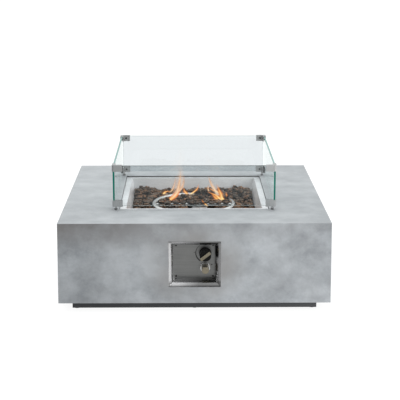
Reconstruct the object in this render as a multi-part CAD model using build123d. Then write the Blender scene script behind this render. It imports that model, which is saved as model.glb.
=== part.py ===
from build123d import *
import math
import os
import random

# Low square gas fire table: a moulded block on a set-back plinth, a drop-in burner pan with lava rock and a
# ring burner, a glass guard that lifts off, and a control box in the front face.
# Millimetres. z = 0 is the floor, the origin is under the table's centre, and the controls face -Y.

# ---------------------------------------------------------------- driving dimensions: block and plinth
TABLE_W = 889.0          # side of the square top
TABLE_H = 302.0          # floor to the top face
DRAFT = 2.8              # how far each outer wall leans out from top to foot, to leave the mould
WALL = 14.0              # wall of the block at the top; the inner faces are upright
SLAB = 22.0              # thickness of the top
EDGE_R = 2.0             # rounding of the block's outer edges
PAN_LEDGE = 22.0         # pan's inner rim to the wall of the opening in the top
OPENING_EDGE_R = 1.2     # rounding of the opening's upper edge
REBATE = 6.0             # depth of the step that the pan's flange lies on
LEDGE = 17.0             # width of that step
PAD_H = 2.0              # rubber pads under the plinth
PAD_R = 12.0
PLINTH_BACK = 39.0       # plinth set back from the top's edge
PLINTH_H = 30.0
PLINTH_LIP = 30.0        # width of the plinth's top and bottom flanges
PLINTH_T = 1.5           # plinth sheet
PANEL_T = 2.0            # base panel sheet
PANEL_GAP = 0.5          # base panel to the block's inner face
PANEL_RIM = 96.0         # base panel's rim round its three air windows
BAR_AT = 190.0           # bars between the windows, from the middle
BAR_W = 80.0
PANEL_CORNER_R = 8.0

# shell brackets, two to a side
BRACKET_AT = 250.0       # bracket centre from the middle of the side
BRACKET_L = 50.0         # length along the wall
BRACKET_UP = 40.0        # upright leg
BRACKET_EDGE = 8.0       # flat leg past its floor screw
BRACKET_T = 3.0
BOLT_R = 3.0             # M6 shank
BOLT_HEAD_R = 5.0
BOLT_HEAD_H = 4.0
BOLT_HOLE_R = 3.2
BOLT_LEVEL = 25.0        # wall bolt above the bracket's underside
BOLT_GRIP = 9.0          # depth of the insert in the wall
NUT_AF = 10.0            # M6 nut, across flats
NUT_H = 5.0

# ---------------------------------------------------------------- driving dimensions: pan, stones and burner
SHEET = 1.5              # pan and other stainless sheet
FLANGE_GAP = 1.5         # pan flange to the opening's wall
PAN_TOP_W = 464.0        # inside width of the pan at its rim
PAN_LEAN = 20.0          # each wall leans in this much from rim to floor
PAN_DEPTH = 74.0         # rim's upper face down to the floor's upper face
PAN_DRAIN_R = 4.0
PAN_DRAIN_IN = 22.0      # drain hole from the pan's walls

RING_R = 143.0           # burner ring, centre line
RING_TUBE_R = 8.0
RING_BORE_R = 6.8
RING_LIFT = 31.0         # pan floor to the ring's centre line
PORT_R = 1.0             # flame ports
PORT_COUNT = 36
CROSS_R = 5.5            # cross tube
CROSS_BORE_R = 4.3
CROSS_DROP = 2.0         # cross tube's centre line below the ring's
BOSS_R = 13.0            # centre boss
BOSS_TOP = 4.5           # boss top above the ring's centre line
BOSS_ROOM = 1.5          # boss above the lock nut on the pan floor
NIPPLE_R = 8.0
NIPPLE_BORE_R = 5.5
THREAD_GAP = 0.05        # radial room between a stub and the bore it screws or slides into
NIPPLE_UP = 14.0         # length inside the boss
NIPPLE_DOWN = 25.0       # length below the pan floor
NIPPLE_NUT_AF = 24.0
NIPPLE_NUT_H = 6.0
SADDLE_W = 20.0          # burner feet
SADDLE_TAB = 13.0

STONE_GAP = 0.6          # between neighbouring stones
STONE_LIFT = 0.3         # under a stone
BED_ROOM = 1.7           # buried lower layer to the cross tube
BED_CELLS = 10           # stones across the pan in the lower layer
BED_INNER = 3            # half of those that lie inside the ring
TOP_CELLS = 14           # stones across the pan in the upper layer
TOP_INNER = 5
RING_ROOM = 9.2          # from the ring's centre line to the stones beside it
PILE_LOW = 13.0          # upper stones at their lowest
PILE_CORNER = 15.0       # extra height towards the pan's rear corners
PILE_MOUND = 5.0         # extra height at the middle
STONE_SHRINK = 0.74      # a stone's flats, as a share of its cell
STONE_SEED = 11

SHIELD_IN = 22.0         # heat shield's edge inside the pan floor's
SHIELD_DROP = 21.0       # pan underside to the shield's upper face
SHIELD_T = 1.0
STUD_IN = 40.0           # stud from the shield's edges
STUD_R = 5.0
SHIELD_ROOM = 8.0        # shield to the air mixer
STUD_THREAD_R = 2.5
STUD_TAIL = 10.0
STUD_NUT_AF = 8.0
STUD_NUT_H = 4.0

MIXER_R = 13.0           # air mixer under the burner
MIXER_BORE_R = 10.0
MIXER_H = 50.0
MIXER_LAP = 12.0         # nipple length inside the mixer
MIXER_END = 6.0
WINDOW_W = 8.0
WINDOW_H = 18.0
JET_AF = 16.0
JET_HEX_H = 8.0
JET_R = 5.0
JET_UP = 12.0
JET_BORE_R = 3.0
JET_HOLE_R = 0.7

# igniter group inside the ring
SPARK_X = 12.0
PROBE_X = 31.0
GROUP_Y = -57.0
BRIDGE_W = 53.0          # shield strip over the electrode
BRIDGE_D = 22.0
BRIDGE_UP = 33.0         # strip's upper face above the pan floor
BRIDGE_T = 1.2
INSULATOR_R = 4.0
INSULATOR_TOP = 16.0     # above the pan floor
INSULATOR_FOOT = 18.0    # below the pan floor
WIRE_R = 1.0
WIRE_TOP = 28.0
PROBE_R = 3.0
PROBE_TOP = 26.0
PROBE_FOOT = 18.0
HOLE_GAP = 0.15          # radial room round the insulator and the probe
COLLAR_R = 6.5           # collar that seats each of them on the pan floor
COLLAR_H = 2.5

# ---------------------------------------------------------------- driving dimensions: glass guard
GUARD_BESIDE = 19.5      # guard's outer face from the opening
GLASS_T = 6.0
GLASS_H = 138.0
GLASS_LIFT = 15.0        # table top to the glass's lower edge
GLASS_EDGE_R = 0.6       # ground edges
PANE_GAP = 0.3           # between neighbouring panes
CLIP_T = 2.5             # clip plate
CLIP_L = 35.0            # clip arm along each pane, from the clip's outer corner
CLIP_H = 22.0
CLIP_CORNER_R = 6.0
CLIP_ROOM = 0.15         # clip plate to glass
CLIP_SCREW_R = 3.2       # heads of the grub screws
CLIP_SCREW_H = 1.2
CLIP_SCREW_SHANK_R = 2.0
CLIP_SCREW_HEX = 2.5
CLIP_SCREW_AT = 21.0     # screw from the clip's outer corner
PEG_R = 3.5              # stub feet
PEG_IN = 9.0             # peg centre from the guard's outer faces
TIP_R = 5.0              # rubber tips
TIP_H = 5.0
TIP_SOCKET = 3.0

# ---------------------------------------------------------------- driving dimensions: control box
BOX_DROP = 138.5         # top face down to the control box's centre
BOX_W = 170.0            # mouth of the flared bezel
BOX_H = 154.0
BOX_DEPTH = 45.0
BOX_FLARE = 18.0         # each side leans in this much over the depth
BEZEL_T = 1.2
BEZEL_SETBACK = 1.3      # mouth behind the block's face at the box's lower edge
BEZEL_GAP = 0.4          # bezel to the cut-out
BEZEL_EAR = 15.0         # rear flange outside the funnel
BEZEL_LIP = 11.0         # rear flange inside the funnel
PLATE_T = 1.2
PLATE_GAP = 0.5
PLATE_SCREW_IN = 6.0     # screw from the plate's edges
PLATE_SCREW_R = 2.0
PLATE_SCREW_HEAD_R = 3.2
PLATE_SCREW_HEAD_H = 1.6
PLATE_SLOT_W = 0.8
PLATE_NUT_AF = 7.0
PLATE_NUT_H = 3.0
CLAMP_T = 1.5            # control box brackets
CLAMP_H = 30.0
CLAMP_FOOT = 24.0
CLAMP_TAB = 12.0

KNOB_X = 35.0            # knob and igniter axis
KNOB_UP = 26.5           # knob axis above the box's centre
KNOB_R = 20.0            # skirt
KNOB_FACE_R = 18.5       # body
KNOB_SKIRT_H = 7.0
KNOB_L = 36.0            # skirt's back to the face
KNOB_ROOM = 0.4          # skirt's back to the plate when pressed
KNOB_HOLLOW_R = 17.0
KNOB_HOLLOW = 5.5
KNOB_HUB_R = 7.5
KNOB_HUB_BACK = 1.4      # hub's back end inside the skirt's
GRIP_W = 10.0            # pale bar across the knob
GRIP_L = 40.0
GRIP_SEAT = 8.0          # depth of its slot
GRIP_OUT = 5.0           # how far it stands out of the face
GRIP_TILT = 38.0         # bar's rise, left to right, as seen from the front
PRESS = 4.0              # travel of knob and button

STEM_R = 4.0
STEM_FLAT = 3.0          # axis to the stem's flat
STEM_IN_KNOB = 20.0
STEM_SHOULDER_R = 6.5
STEM_SHOULDER_H = 1.2
RUNNING_GAP = 0.05       # radial room of every running fit
SEAT_GAP = 0.3           # room between pieces that move apart and a stop
VALVE_W = 36.0
VALVE_H = 40.0
VALVE_L = 50.0
CHAMBER_R = 8.0          # spring chamber
CHAMBER_FRONT = 4.0      # wall in front of it
CHAMBER_L = 24.0
STEM_TAIL = 15.0         # stem behind the chamber
WASHER_R = 7.5
WASHER_T = 1.5
SPRING_WIRE_R = 0.6
SPRING_TURNS = 6
VALVE_PORT_R = 7.0
VALVE_PORT_BORE_R = 4.0
VALVE_PORT_L = 14.0
OUTLET_DROP = 13.0       # outlet below the stem
INLET_DROP = 10.0        # inlet below the stem
INLET_BACK = 28.0        # inlet behind the plate
VALVE_SCREW_AT = 13.0    # each side of the stem
VALVE_SCREW_L = 8.0
SENSOR_PORT_R = 4.0
SENSOR_PORT_L = 8.0
SENSOR_X = 12.0          # thermocouple port from the stem
SENSOR_UP = 11.0

BUTTON_DOWN = 24.1       # button axis below the box's centre
BUTTON_R = 12.0
BUTTON_OUT = 34.0        # cap's face to the plate
BUTTON_WALL = 2.0
BUTTON_LIP_R = 13.2      # lip that holds the cap in
BUTTON_LIP_H = 2.0
IGNITER_FLANGE_R = 17.5
IGNITER_FLANGE_H = 4.0
IGNITER_COLLAR_R = 14.6
IGNITER_COLLAR_H = 10.0  # plate to the collar's mouth
IGNITER_NECK_R = 14.2
IGNITER_NECK_L = 19.0    # plate's face to the neck's end
IGNITER_HOLE_GAP = 0.2
IGNITER_NUT_AF = 34.0
IGNITER_NUT_H = 5.0
HOUSING_R = 16.0
HOUSING_L = 62.0
HOUSING_LAP = 7.0        # neck inside the housing
HOUSING_BORE_R = 8.0
HOUSING_END = 5.0
BATTERY_R = 5.25
BATTERY_L = 44.5
BATTERY_TIP_R = 1.9
BATTERY_TIP_H = 0.8

# ---------------------------------------------------------------- driving dimensions: inlet, hoses and leads
INLET_UP = 4.0           # inlet bracket above the base panel
INLET_HOLE_R = 21.0      # hole in the rear wall
INLET_PLATE_W = 84.0
INLET_PLATE_T = 2.0
INLET_BOLT_AT = 33.0
INLET_R = 7.94           # 5/8 in flare thread, the supply hose's end
INLET_BODY_R = 9.5       # part of the fitting that passes through its bracket
INLET_BORE_R = 4.0
INLET_OUT = 12.0         # stub behind the lock nut
INLET_IN = 26.0          # stub inside the block
INLET_HEX_AF = 24.0
INLET_HEX_H = 7.0
INLET_NUT_AF = 24.0
INLET_NUT_H = 4.0
HOSE_R = 6.0
HOSE_BORE_R = 4.0
HOSE_NUT_AF = 17.5
HOSE_NUT_H = 14.0
HOSE_LAP = 6.0           # hose nut over the fitting
BURNER_HOSE_LOW = 56.0   # lowest run of the burner hose
SUPPLY_LOW = 58.0        # level of the supply hose along the base panel
SUPPLY_SIDE = 190.0      # its run to the right of the middle
HOSE_BEND = 66.0         # straight stretch before a hose turns
BURNER_BEND = 74.0
IGNITION_BEND = 45.0
SENSOR_BEND = 54.0
LEAD_SIDE = 14.0         # leads beside the middle line
LEAD_DROP = 35.0         # leads below the heat shield
LEAD_R = 1.75
SENSOR_LEAD_R = 1.5
HOSE_CLIP_W = 12.0       # P-clips round the supply hose
HOSE_CLIP_T = 2.0
HOSE_CLIP_SCREW_AT = 15.0    # screw beside the hose
HOSE_CLIP_FOOT = 10.0

# ---------------------------------------------------------------- places worked out from the sizes above
SHELL_Z = PAD_H + PLINTH_H                       # block's foot
INNER = TABLE_W / 2 - WALL                       # block's inner faces
PLINTH_W = TABLE_W - 2 * PLINTH_BACK             # side of the plinth
FOOT_AT = PLINTH_W / 2 - PLINTH_LIP / 2          # middle of the plinth's flanges
BRACKET_IN = INNER - FOOT_AT + BRACKET_EDGE      # bracket's flat leg
OPENING = PAN_TOP_W + 2 * PAN_LEDGE              # side of the square opening in the top
GUARD_W = OPENING + 2 * GUARD_BESIDE             # outer side of the guard
PAN_FLOOR_W = PAN_TOP_W - 2 * PAN_LEAN           # inside width of the pan at its floor
PAN_DRAIN_AT = PAN_FLOOR_W / 2 - PAN_DRAIN_IN
SHIELD_W = PAN_FLOOR_W - 2 * SHIELD_IN           # heat shield under the pan
STUD_AT = SHIELD_W / 2 - STUD_IN
SEAT_Z = TABLE_H - REBATE                        # pan flange's underside
PAN_TOP = SEAT_Z + SHEET
FLOOR_Z = PAN_TOP - PAN_DEPTH                    # pan floor, upper face
PAN_UNDER = FLOOR_Z - SHEET
PANEL_TOP = SHELL_Z + PANEL_T
RING_Z = FLOOR_Z + RING_LIFT
BOSS_Z1 = RING_Z + BOSS_TOP
BOSS_Z0 = FLOOR_Z + NIPPLE_NUT_H + BOSS_ROOM
CROSS_Z = RING_Z - CROSS_DROP                    # cross tube's centre line
NIPPLE_Z1 = BOSS_Z0 + NIPPLE_UP
NIPPLE_Z0 = PAN_UNDER - NIPPLE_DOWN
MIXER_Z1 = NIPPLE_Z0 + MIXER_LAP
MIXER_Z0 = MIXER_Z1 - MIXER_H
JET_Z0 = MIXER_Z0 - JET_HEX_H
BED_TOP = CROSS_Z - CROSS_R - BED_ROOM           # top of the buried lower layer
GLASS_Z0 = TABLE_H + GLASS_LIFT
GLASS_Z1 = GLASS_Z0 + GLASS_H
CLIP_W = GUARD_W / 2 + CLIP_ROOM + CLIP_T        # clip's outer faces from the centre lines
BOX_Z = TABLE_H - BOX_DROP                       # centre of the control box
KNOB_Z = BOX_Z + KNOB_UP
BUTTON_Z = BOX_Z - BUTTON_DOWN
FACE_LOW = TABLE_W / 2 + DRAFT * (BOX_DROP + BOX_H / 2) / (TABLE_H - SHELL_Z)
BEZEL_Y = -(FACE_LOW - BEZEL_SETBACK)            # mouth of the bezel
BOX_BACK = BEZEL_Y + BOX_DEPTH                   # rear flange's front face
PLATE_Y = BOX_BACK - PLATE_T                     # plate's front face
RECESS_W = BOX_W - 2 * BOX_FLARE                 # funnel's rear opening
RECESS_H = BOX_H - 2 * BOX_FLARE
KNOB_BACK = PLATE_Y - PRESS - KNOB_ROOM
KNOB_FACE = KNOB_BACK - KNOB_L
CHAMBER_Y0 = BOX_BACK + CHAMBER_FRONT
CHAMBER_Y1 = CHAMBER_Y0 + CHAMBER_L
VALVE_BACK = BOX_BACK + VALVE_L
NECK_BACK = PLATE_Y + IGNITER_NECK_L
HOUSING_Y0 = NECK_BACK - HOUSING_LAP
HOUSING_Y1 = HOUSING_Y0 + HOUSING_L
BUTTON_FACE = PLATE_Y - BUTTON_OUT
BUTTON_BACK = BOX_BACK + SEAT_GAP                # lip's front face at rest, just behind its stop
INLET_Y = INNER - INLET_PLATE_T                  # inlet bracket's inner face
INLET_Z = PANEL_TOP + INLET_UP + INLET_PLATE_W / 2
SHIELD_Z1 = PAN_UNDER - SHIELD_DROP


# ---------------------------------------------------------------- small helpers
def block(x0, x1, y0, y1, z0, z1):
    """Box between two corners."""
    middle = Pos((x0 + x1) / 2, (y0 + y1) / 2, (z0 + z1) / 2)
    return middle * Box(x1 - x0, y1 - y0, z1 - z0)


def square_block(half, z0, z1):
    """Square box about the table's upright axis."""
    return block(-half, half, -half, half, z0, z1)


def rod(axis, at, low, high, radius):
    """Round bar along 'x', 'y' or 'z'; at gives its two other coordinates in x, y, z order."""
    middle = (low + high) / 2
    bar = Cylinder(radius, high - low)
    if axis == "x":
        return Pos(middle, at[0], at[1]) * Rot(0, 90, 0) * bar
    if axis == "y":
        return Pos(at[0], middle, at[1]) * Rot(90, 0, 0) * bar
    return Pos(at[0], at[1], middle) * bar


def hexagon(axis, at, low, high, across):
    """Hexagonal bar, like rod, given its width across flats."""
    corner_r = across / math.sqrt(3)
    bar = Pos(0, 0, -(high - low) / 2) * extrude(RegularPolygon(corner_r, 6), high - low)
    middle = (low + high) / 2
    if axis == "x":
        return Pos(middle, at[0], at[1]) * Rot(0, 90, 0) * bar
    if axis == "y":
        return Pos(at[0], middle, at[1]) * Rot(90, 0, 0) * bar
    return Pos(at[0], at[1], middle) * bar


def frustum(half0, z0, half1, z1):
    """Square frustum between two levels."""
    lower = Pos(0, 0, z0) * Rectangle(2 * half0, 2 * half0)
    upper = Pos(0, 0, z1) * Rectangle(2 * half1, 2 * half1)
    return loft([lower, upper])


def funnel(w0, h0, y0, w1, h1, y1):
    """Rectangular frustum along Y about the control box's centre."""
    mouth = Plane((0, y0, BOX_Z), x_dir=(1, 0, 0), z_dir=(0, 1, 0)) * Rectangle(w0, h0)
    back = Plane((0, y1, BOX_Z), x_dir=(1, 0, 0), z_dir=(0, 1, 0)) * Rectangle(w1, h1)
    return loft([mouth, back])


def four_sides(piece):
    """The same piece on all four sides of the table."""
    return [Rot(0, 0, 90 * turn) * piece for turn in range(4)]


def four_corners(half):
    """Plan points of a centred square."""
    return [(x, y) for x in (-half, half) for y in (-half, half)]


def arc_radii(points):
    """The largest radius that each corner of a route leaves room for."""
    radii = []
    for before, here, after in zip(points, points[1:], points[2:]):
        run_in = Vector(*here) - Vector(*before)
        run_out = Vector(*after) - Vector(*here)
        half_turn = math.radians(run_in.get_angle(run_out) / 2)
        radii.append(0.45 * min(run_in.length, run_out.length) / math.tan(half_turn))
    return radii


def along(points, radius, bore=0.0):
    """Round tube or bar along a route of straight runs and tangent arcs."""
    route = FilletPolyline(*points, radius=arc_radii(points))
    start = Plane(origin=route @ 0, z_dir=route % 0)
    section = Circle(radius) - Circle(bore) if bore else Circle(radius)
    tube = sweep(start * section, path=route)
    ideal = math.pi * (radius ** 2 - bore ** 2) * route.length
    tightest = min(arc_radii(points))
    print(f"route length {route.length:.0f}, tightest arc {tightest:.0f}, volume {tube.volume / ideal:.4f}")
    return tube


def coil(at, low, high, mean_r, wire_r, turns):
    """Compression spring along Y with room for its end turns."""
    height = high - low - 2 * wire_r
    line = Helix(height / turns, height, mean_r, center=(0, 0, 0), direction=(0, 0, 1))
    start = Plane(origin=line @ 0, z_dir=line % 0)
    wire = sweep(start * Circle(wire_r), path=line, is_frenet=True)
    return Pos(at[0], high - wire_r, at[1]) * Rot(90, 0, 0) * wire


def polyhedron(points, sides):
    """Solid with flat sides, from its corners and each side's corner numbers."""
    faces = [Face(Wire.make_polygon([points[n] for n in side])) for side in sides]
    return Solid(Shell(faces))


NODES = {}


def keep(name, *pieces):
    """Collect the solids of one named piece, or of a group of like pieces."""
    NODES[name] = [solid for piece in pieces for solid in piece.solids()]


# ---------------------------------------------------------------- block and plinth
def bracket_bolt_places():
    """Wall bolt and floor screw of one bracket on the +X side, as (y, z) and (x, y)."""
    wall = [(y, PANEL_TOP + BOLT_LEVEL) for y in (-BRACKET_AT, BRACKET_AT)]
    floor = [(FOOT_AT, y) for y in (-BRACKET_AT, BRACKET_AT)]
    return wall, floor


def cut_floor_holes(sheet, z0, z1):
    """Screw holes under the eight brackets, through a horizontal sheet."""
    floor = bracket_bolt_places()[1]
    holes = [hole for at in floor for hole in four_sides(rod("z", at, z0 - 1, z1 + 1, BOLT_HOLE_R))]
    return sheet - holes


def table_shell():
    body = frustum(TABLE_W / 2 + DRAFT, SHELL_Z, TABLE_W / 2, TABLE_H)
    levels = body.edges().group_by(Axis.Z)
    outer = fillet(levels[-1] + levels[1], EDGE_R)
    outer -= square_block(INNER, SHELL_Z - 1, TABLE_H - SLAB)
    outer -= square_block(OPENING / 2, SEAT_Z, TABLE_H + 1)
    outer -= square_block(OPENING / 2 - LEDGE, SEAT_Z - SLAB, TABLE_H + 1)
    rim = outer.edges().filter_by_position(Axis.Z, TABLE_H - 0.01, TABLE_H + 0.01)
    outer = fillet(rim.filter_by(lambda edge: abs(edge.length - OPENING) < 0.1), OPENING_EDGE_R)
    half_w = BOX_W / 2 + BEZEL_GAP
    half_h = BOX_H / 2 + BEZEL_GAP
    outer -= block(-half_w, half_w, -TABLE_W, -INNER + 1, BOX_Z - half_h, BOX_Z + half_h)
    outer -= rod("y", (0, INLET_Z), INNER - 1, TABLE_W, INLET_HOLE_R)
    for at in bracket_bolt_places()[0]:
        outer -= four_sides(rod("x", at, INNER - 1, INNER + BOLT_GRIP, BOLT_R + THREAD_GAP))
    for x, z in inlet_bolt_places():
        outer -= rod("y", (x, z), INNER - 1, INNER + BOLT_GRIP, BOLT_R + THREAD_GAP)
    for x in clamp_foot_places():
        outer -= rod("y", (x, BOX_Z), -INNER - BOLT_GRIP, -INNER + 1, PLATE_SCREW_R + THREAD_GAP)
    keep("table_shell", outer)


def plinth():
    frame = square_block(PLINTH_W / 2, PAD_H, SHELL_Z)
    frame = fillet(frame.edges().filter_by(Axis.Z), EDGE_R)
    frame -= square_block(PLINTH_W / 2 - PLINTH_LIP, PAD_H - 1, SHELL_Z + 1)
    frame -= square_block(PLINTH_W / 2 - PLINTH_T, PAD_H + PLINTH_T, SHELL_Z - PLINTH_T)
    keep("plinth_frame", cut_floor_holes(frame, SHELL_Z - PLINTH_T, SHELL_Z))
    corner_pads = [rod("z", at, 0, PAD_H, PAD_R) for at in four_corners(FOOT_AT)]
    keep("foot_pads", *corner_pads, *four_sides(rod("z", (FOOT_AT, 0), 0, PAD_H, PAD_R)))


def base_panel():
    sheet = square_block(INNER - PANEL_GAP, SHELL_Z, PANEL_TOP)
    reach = INNER - PANEL_RIM
    bar0, bar1 = BAR_AT - BAR_W / 2, BAR_AT + BAR_W / 2
    for x0, x1 in ((-reach, -bar1), (-bar0, bar0), (bar1, reach)):
        window = block(x0, x1, -reach, reach, SHELL_Z - 1, PANEL_TOP + 1)
        sheet -= fillet(window.edges().filter_by(Axis.Z), PANEL_CORNER_R)
    room = PLATE_SCREW_R + THREAD_GAP
    hole = rod("z", (HOSE_CLIP_SCREW_AT, 0), SHELL_Z - 1, PANEL_TOP + 1, room)
    sheet -= [place * hole for place in hose_clip_places()]
    keep("base_panel", cut_floor_holes(sheet, SHELL_Z, PANEL_TOP))


def shell_brackets():
    wall, floor = bracket_bolt_places()
    brackets = []
    bolts = []
    screws = []
    for (y, bolt_z), at in zip(wall, floor):
        y0, y1 = y - BRACKET_L / 2, y + BRACKET_L / 2
        angle = block(INNER - BRACKET_T, INNER, y0, y1, PANEL_TOP, PANEL_TOP + BRACKET_UP)
        angle += block(INNER - BRACKET_IN, INNER, y0, y1, PANEL_TOP, PANEL_TOP + BRACKET_T)
        angle -= rod("x", (y, bolt_z), INNER - BRACKET_T - 1, INNER + 1, BOLT_HOLE_R)
        angle -= rod("z", at, PANEL_TOP - 1, PANEL_TOP + BRACKET_T + 1, BOLT_HOLE_R)
        brackets.append(angle)
        face = INNER - BRACKET_T
        bolt = rod("x", (y, bolt_z), face - BOLT_HEAD_H, face, BOLT_HEAD_R)
        bolts.append(bolt + rod("x", (y, bolt_z), face - 1, INNER + BOLT_GRIP - 1, BOLT_R))
        top = PANEL_TOP + BRACKET_T
        under = SHELL_Z - PLINTH_T
        screw = rod("z", at, top, top + BOLT_HEAD_H, BOLT_HEAD_R)
        screw += rod("z", at, under - NUT_H - 1, top + 1, BOLT_R)
        nut = hexagon("z", at, under - NUT_H, under, NUT_AF)
        nut -= rod("z", at, under - NUT_H - 1, under + 1, BOLT_R + THREAD_GAP)
        screws += [screw, nut]
    keep("shell_brackets", *[copy for angle in brackets for copy in four_sides(angle)])
    wall_bolts = [copy for bolt in bolts for copy in four_sides(bolt)]
    keep("shell_bolts", *wall_bolts, *inlet_bolts())
    keep("base_screws", *[copy for screw in screws for copy in four_sides(screw)])


# ---------------------------------------------------------------- burner pan and heat shield
def pan_half(z):
    """Half width of the pan's inside at a level."""
    share = (z - FLOOR_Z) / PAN_DEPTH
    return (PAN_FLOOR_W + (PAN_TOP_W - PAN_FLOOR_W) * share) / 2


def burner_pan():
    flange = OPENING / 2 - FLANGE_GAP
    pan = frustum(pan_half(PAN_UNDER) + SHEET, PAN_UNDER, pan_half(PAN_TOP) + SHEET, PAN_TOP)
    pan += square_block(flange, SEAT_Z, PAN_TOP)
    pan -= frustum(pan_half(FLOOR_Z), FLOOR_Z, pan_half(PAN_TOP + 1), PAN_TOP + 1)
    floor_holes = [(0, 0, NIPPLE_R + THREAD_GAP)]
    floor_holes.append((SPARK_X, GROUP_Y, INSULATOR_R + HOLE_GAP))
    floor_holes.append((PROBE_X, GROUP_Y, PROBE_R + HOLE_GAP))
    floor_holes += [(x, y, PAN_DRAIN_R) for x, y in four_corners(PAN_DRAIN_AT)]
    pan -= [rod("z", (x, y), PAN_UNDER - 1, FLOOR_Z + 1, r) for x, y, r in floor_holes]
    keep("burner_tray", pan)


def heat_shield():
    z0 = SHIELD_Z1 - SHIELD_T
    low, high = z0 - 1, SHIELD_Z1 + 1
    sheet = square_block(SHIELD_W / 2, z0, SHIELD_Z1)
    sheet -= rod("z", (0, 0), low, high, MIXER_R + SHIELD_ROOM)
    reach = INSULATOR_R + SHIELD_ROOM / 2
    sheet -= block(SPARK_X - reach, PROBE_X + reach, GROUP_Y - reach, GROUP_Y + reach, low, high)
    studs = []
    nuts = []
    for at in four_corners(STUD_AT):
        sheet -= rod("z", at, low, high, STUD_THREAD_R + HOLE_GAP)
        stud = rod("z", at, SHIELD_Z1, PAN_UNDER, STUD_R)
        studs.append(stud + rod("z", at, z0 - STUD_TAIL, SHIELD_Z1 + 1, STUD_THREAD_R))
        nut = hexagon("z", at, z0 - STUD_NUT_H, z0, STUD_NUT_AF)
        nuts.append(nut - rod("z", at, z0 - STUD_NUT_H - 1, z0 + 1, STUD_THREAD_R + THREAD_GAP))
    keep("heat_shield", sheet)
    keep("shield_studs", *studs)
    keep("shield_nuts", *nuts)


# ---------------------------------------------------------------- burner
def ring_arc(radius, start, turn):
    """Arc of round bar on the ring's centre line."""
    section = Pos(RING_R, 0, RING_Z) * Rot(90, 0, 0) * Circle(radius)
    return Rot(0, 0, start) * revolve(section, Axis.Z, turn)


def burner_ring():
    """The ring is bent from two tubes, each with its own spoke, and the spokes are welded into the boss."""
    spoke_end = (NIPPLE_R + BOSS_R) / 2
    turn = 180
    past = 1
    half = ring_arc(RING_TUBE_R, -turn / 2, turn)
    half += rod("x", (0, CROSS_Z), spoke_end, RING_R, CROSS_R)
    half -= ring_arc(RING_BORE_R, -turn / 2 - past, turn + 2 * past)
    half -= rod("x", (0, CROSS_Z), spoke_end - 1, RING_R, CROSS_BORE_R)
    port = rod("z", (RING_R, 0), RING_Z, RING_Z + RING_TUBE_R + 1, PORT_R)
    pitch = turn / (PORT_COUNT // 2)
    half -= [Rot(0, 0, pitch * (n + 0.5) - turn / 2) * port for n in range(PORT_COUNT // 2)]
    keep("burner_ring", half, Rot(0, 0, 180) * half)
    boss = rod("z", (0, 0), BOSS_Z0, BOSS_Z1, BOSS_R)
    boss -= rod("z", (0, 0), BOSS_Z0 - 1, CROSS_Z, NIPPLE_R + THREAD_GAP)
    boss -= rod("x", (0, CROSS_Z), -BOSS_R - 1, BOSS_R + 1, CROSS_R + THREAD_GAP)
    keep("burner_boss", boss)


def burner_feet():
    x0, x1 = RING_R - SADDLE_TAB / 2, RING_R + SADDLE_TAB / 2
    saddle = block(x0, x1, -SADDLE_W / 2, SADDLE_W / 2, FLOOR_Z, FLOOR_Z + SHEET)
    saddle += block(x0, x1, -SHEET / 2, SHEET / 2, FLOOR_Z, RING_Z - SHEET)
    saddle -= Pos(0, 0, RING_Z) * Torus(RING_R, RING_TUBE_R + THREAD_GAP)
    keep("burner_feet", *[Rot(0, 0, 45 + 90 * turn) * saddle for turn in range(4)])


def burner_feed():
    nipple = rod("z", (0, 0), NIPPLE_Z0, NIPPLE_Z1, NIPPLE_R)
    keep("burner_nipple", nipple - rod("z", (0, 0), NIPPLE_Z0 - 1, NIPPLE_Z1 + 1, NIPPLE_BORE_R))
    nuts = []
    for z0 in (FLOOR_Z, PAN_UNDER - NIPPLE_NUT_H):
        nut = hexagon("z", (0, 0), z0, z0 + NIPPLE_NUT_H, NIPPLE_NUT_AF)
        nuts.append(nut - rod("z", (0, 0), z0 - 1, z0 + NIPPLE_NUT_H + 1, NIPPLE_R + THREAD_GAP))
    keep("nipple_nuts", *nuts)
    mixer = rod("z", (0, 0), MIXER_Z0, MIXER_Z1, MIXER_R)
    mixer -= rod("z", (0, 0), MIXER_Z0 + MIXER_END, NIPPLE_Z0 - 1, MIXER_BORE_R)
    mixer -= rod("z", (0, 0), NIPPLE_Z0 - 2, MIXER_Z1 + 1, NIPPLE_R + THREAD_GAP)
    mixer -= rod("z", (0, 0), MIXER_Z0 - 1, MIXER_Z0 + MIXER_END + 1, JET_R + THREAD_GAP)
    low = MIXER_Z0 + MIXER_END + 2
    window = block(0, MIXER_R + 1, -WINDOW_W / 2, WINDOW_W / 2, low, low + WINDOW_H)
    mixer -= four_sides(window)
    keep("air_mixer", mixer)
    jet = hexagon("z", (0, 0), JET_Z0, MIXER_Z0, JET_AF)
    jet += rod("z", (0, 0), MIXER_Z0 - 1, MIXER_Z0 + JET_UP, JET_R)
    jet += rod("z", (0, 0), JET_Z0 - INLET_HEX_H, JET_Z0 + 1, HOSE_R)
    jet -= rod("z", (0, 0), JET_Z0 - INLET_HEX_H - 1, MIXER_Z0 + JET_UP - 2, JET_BORE_R)
    jet -= rod("z", (0, 0), MIXER_Z0, MIXER_Z0 + JET_UP + 1, JET_HOLE_R)
    keep("gas_jet", jet)


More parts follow.
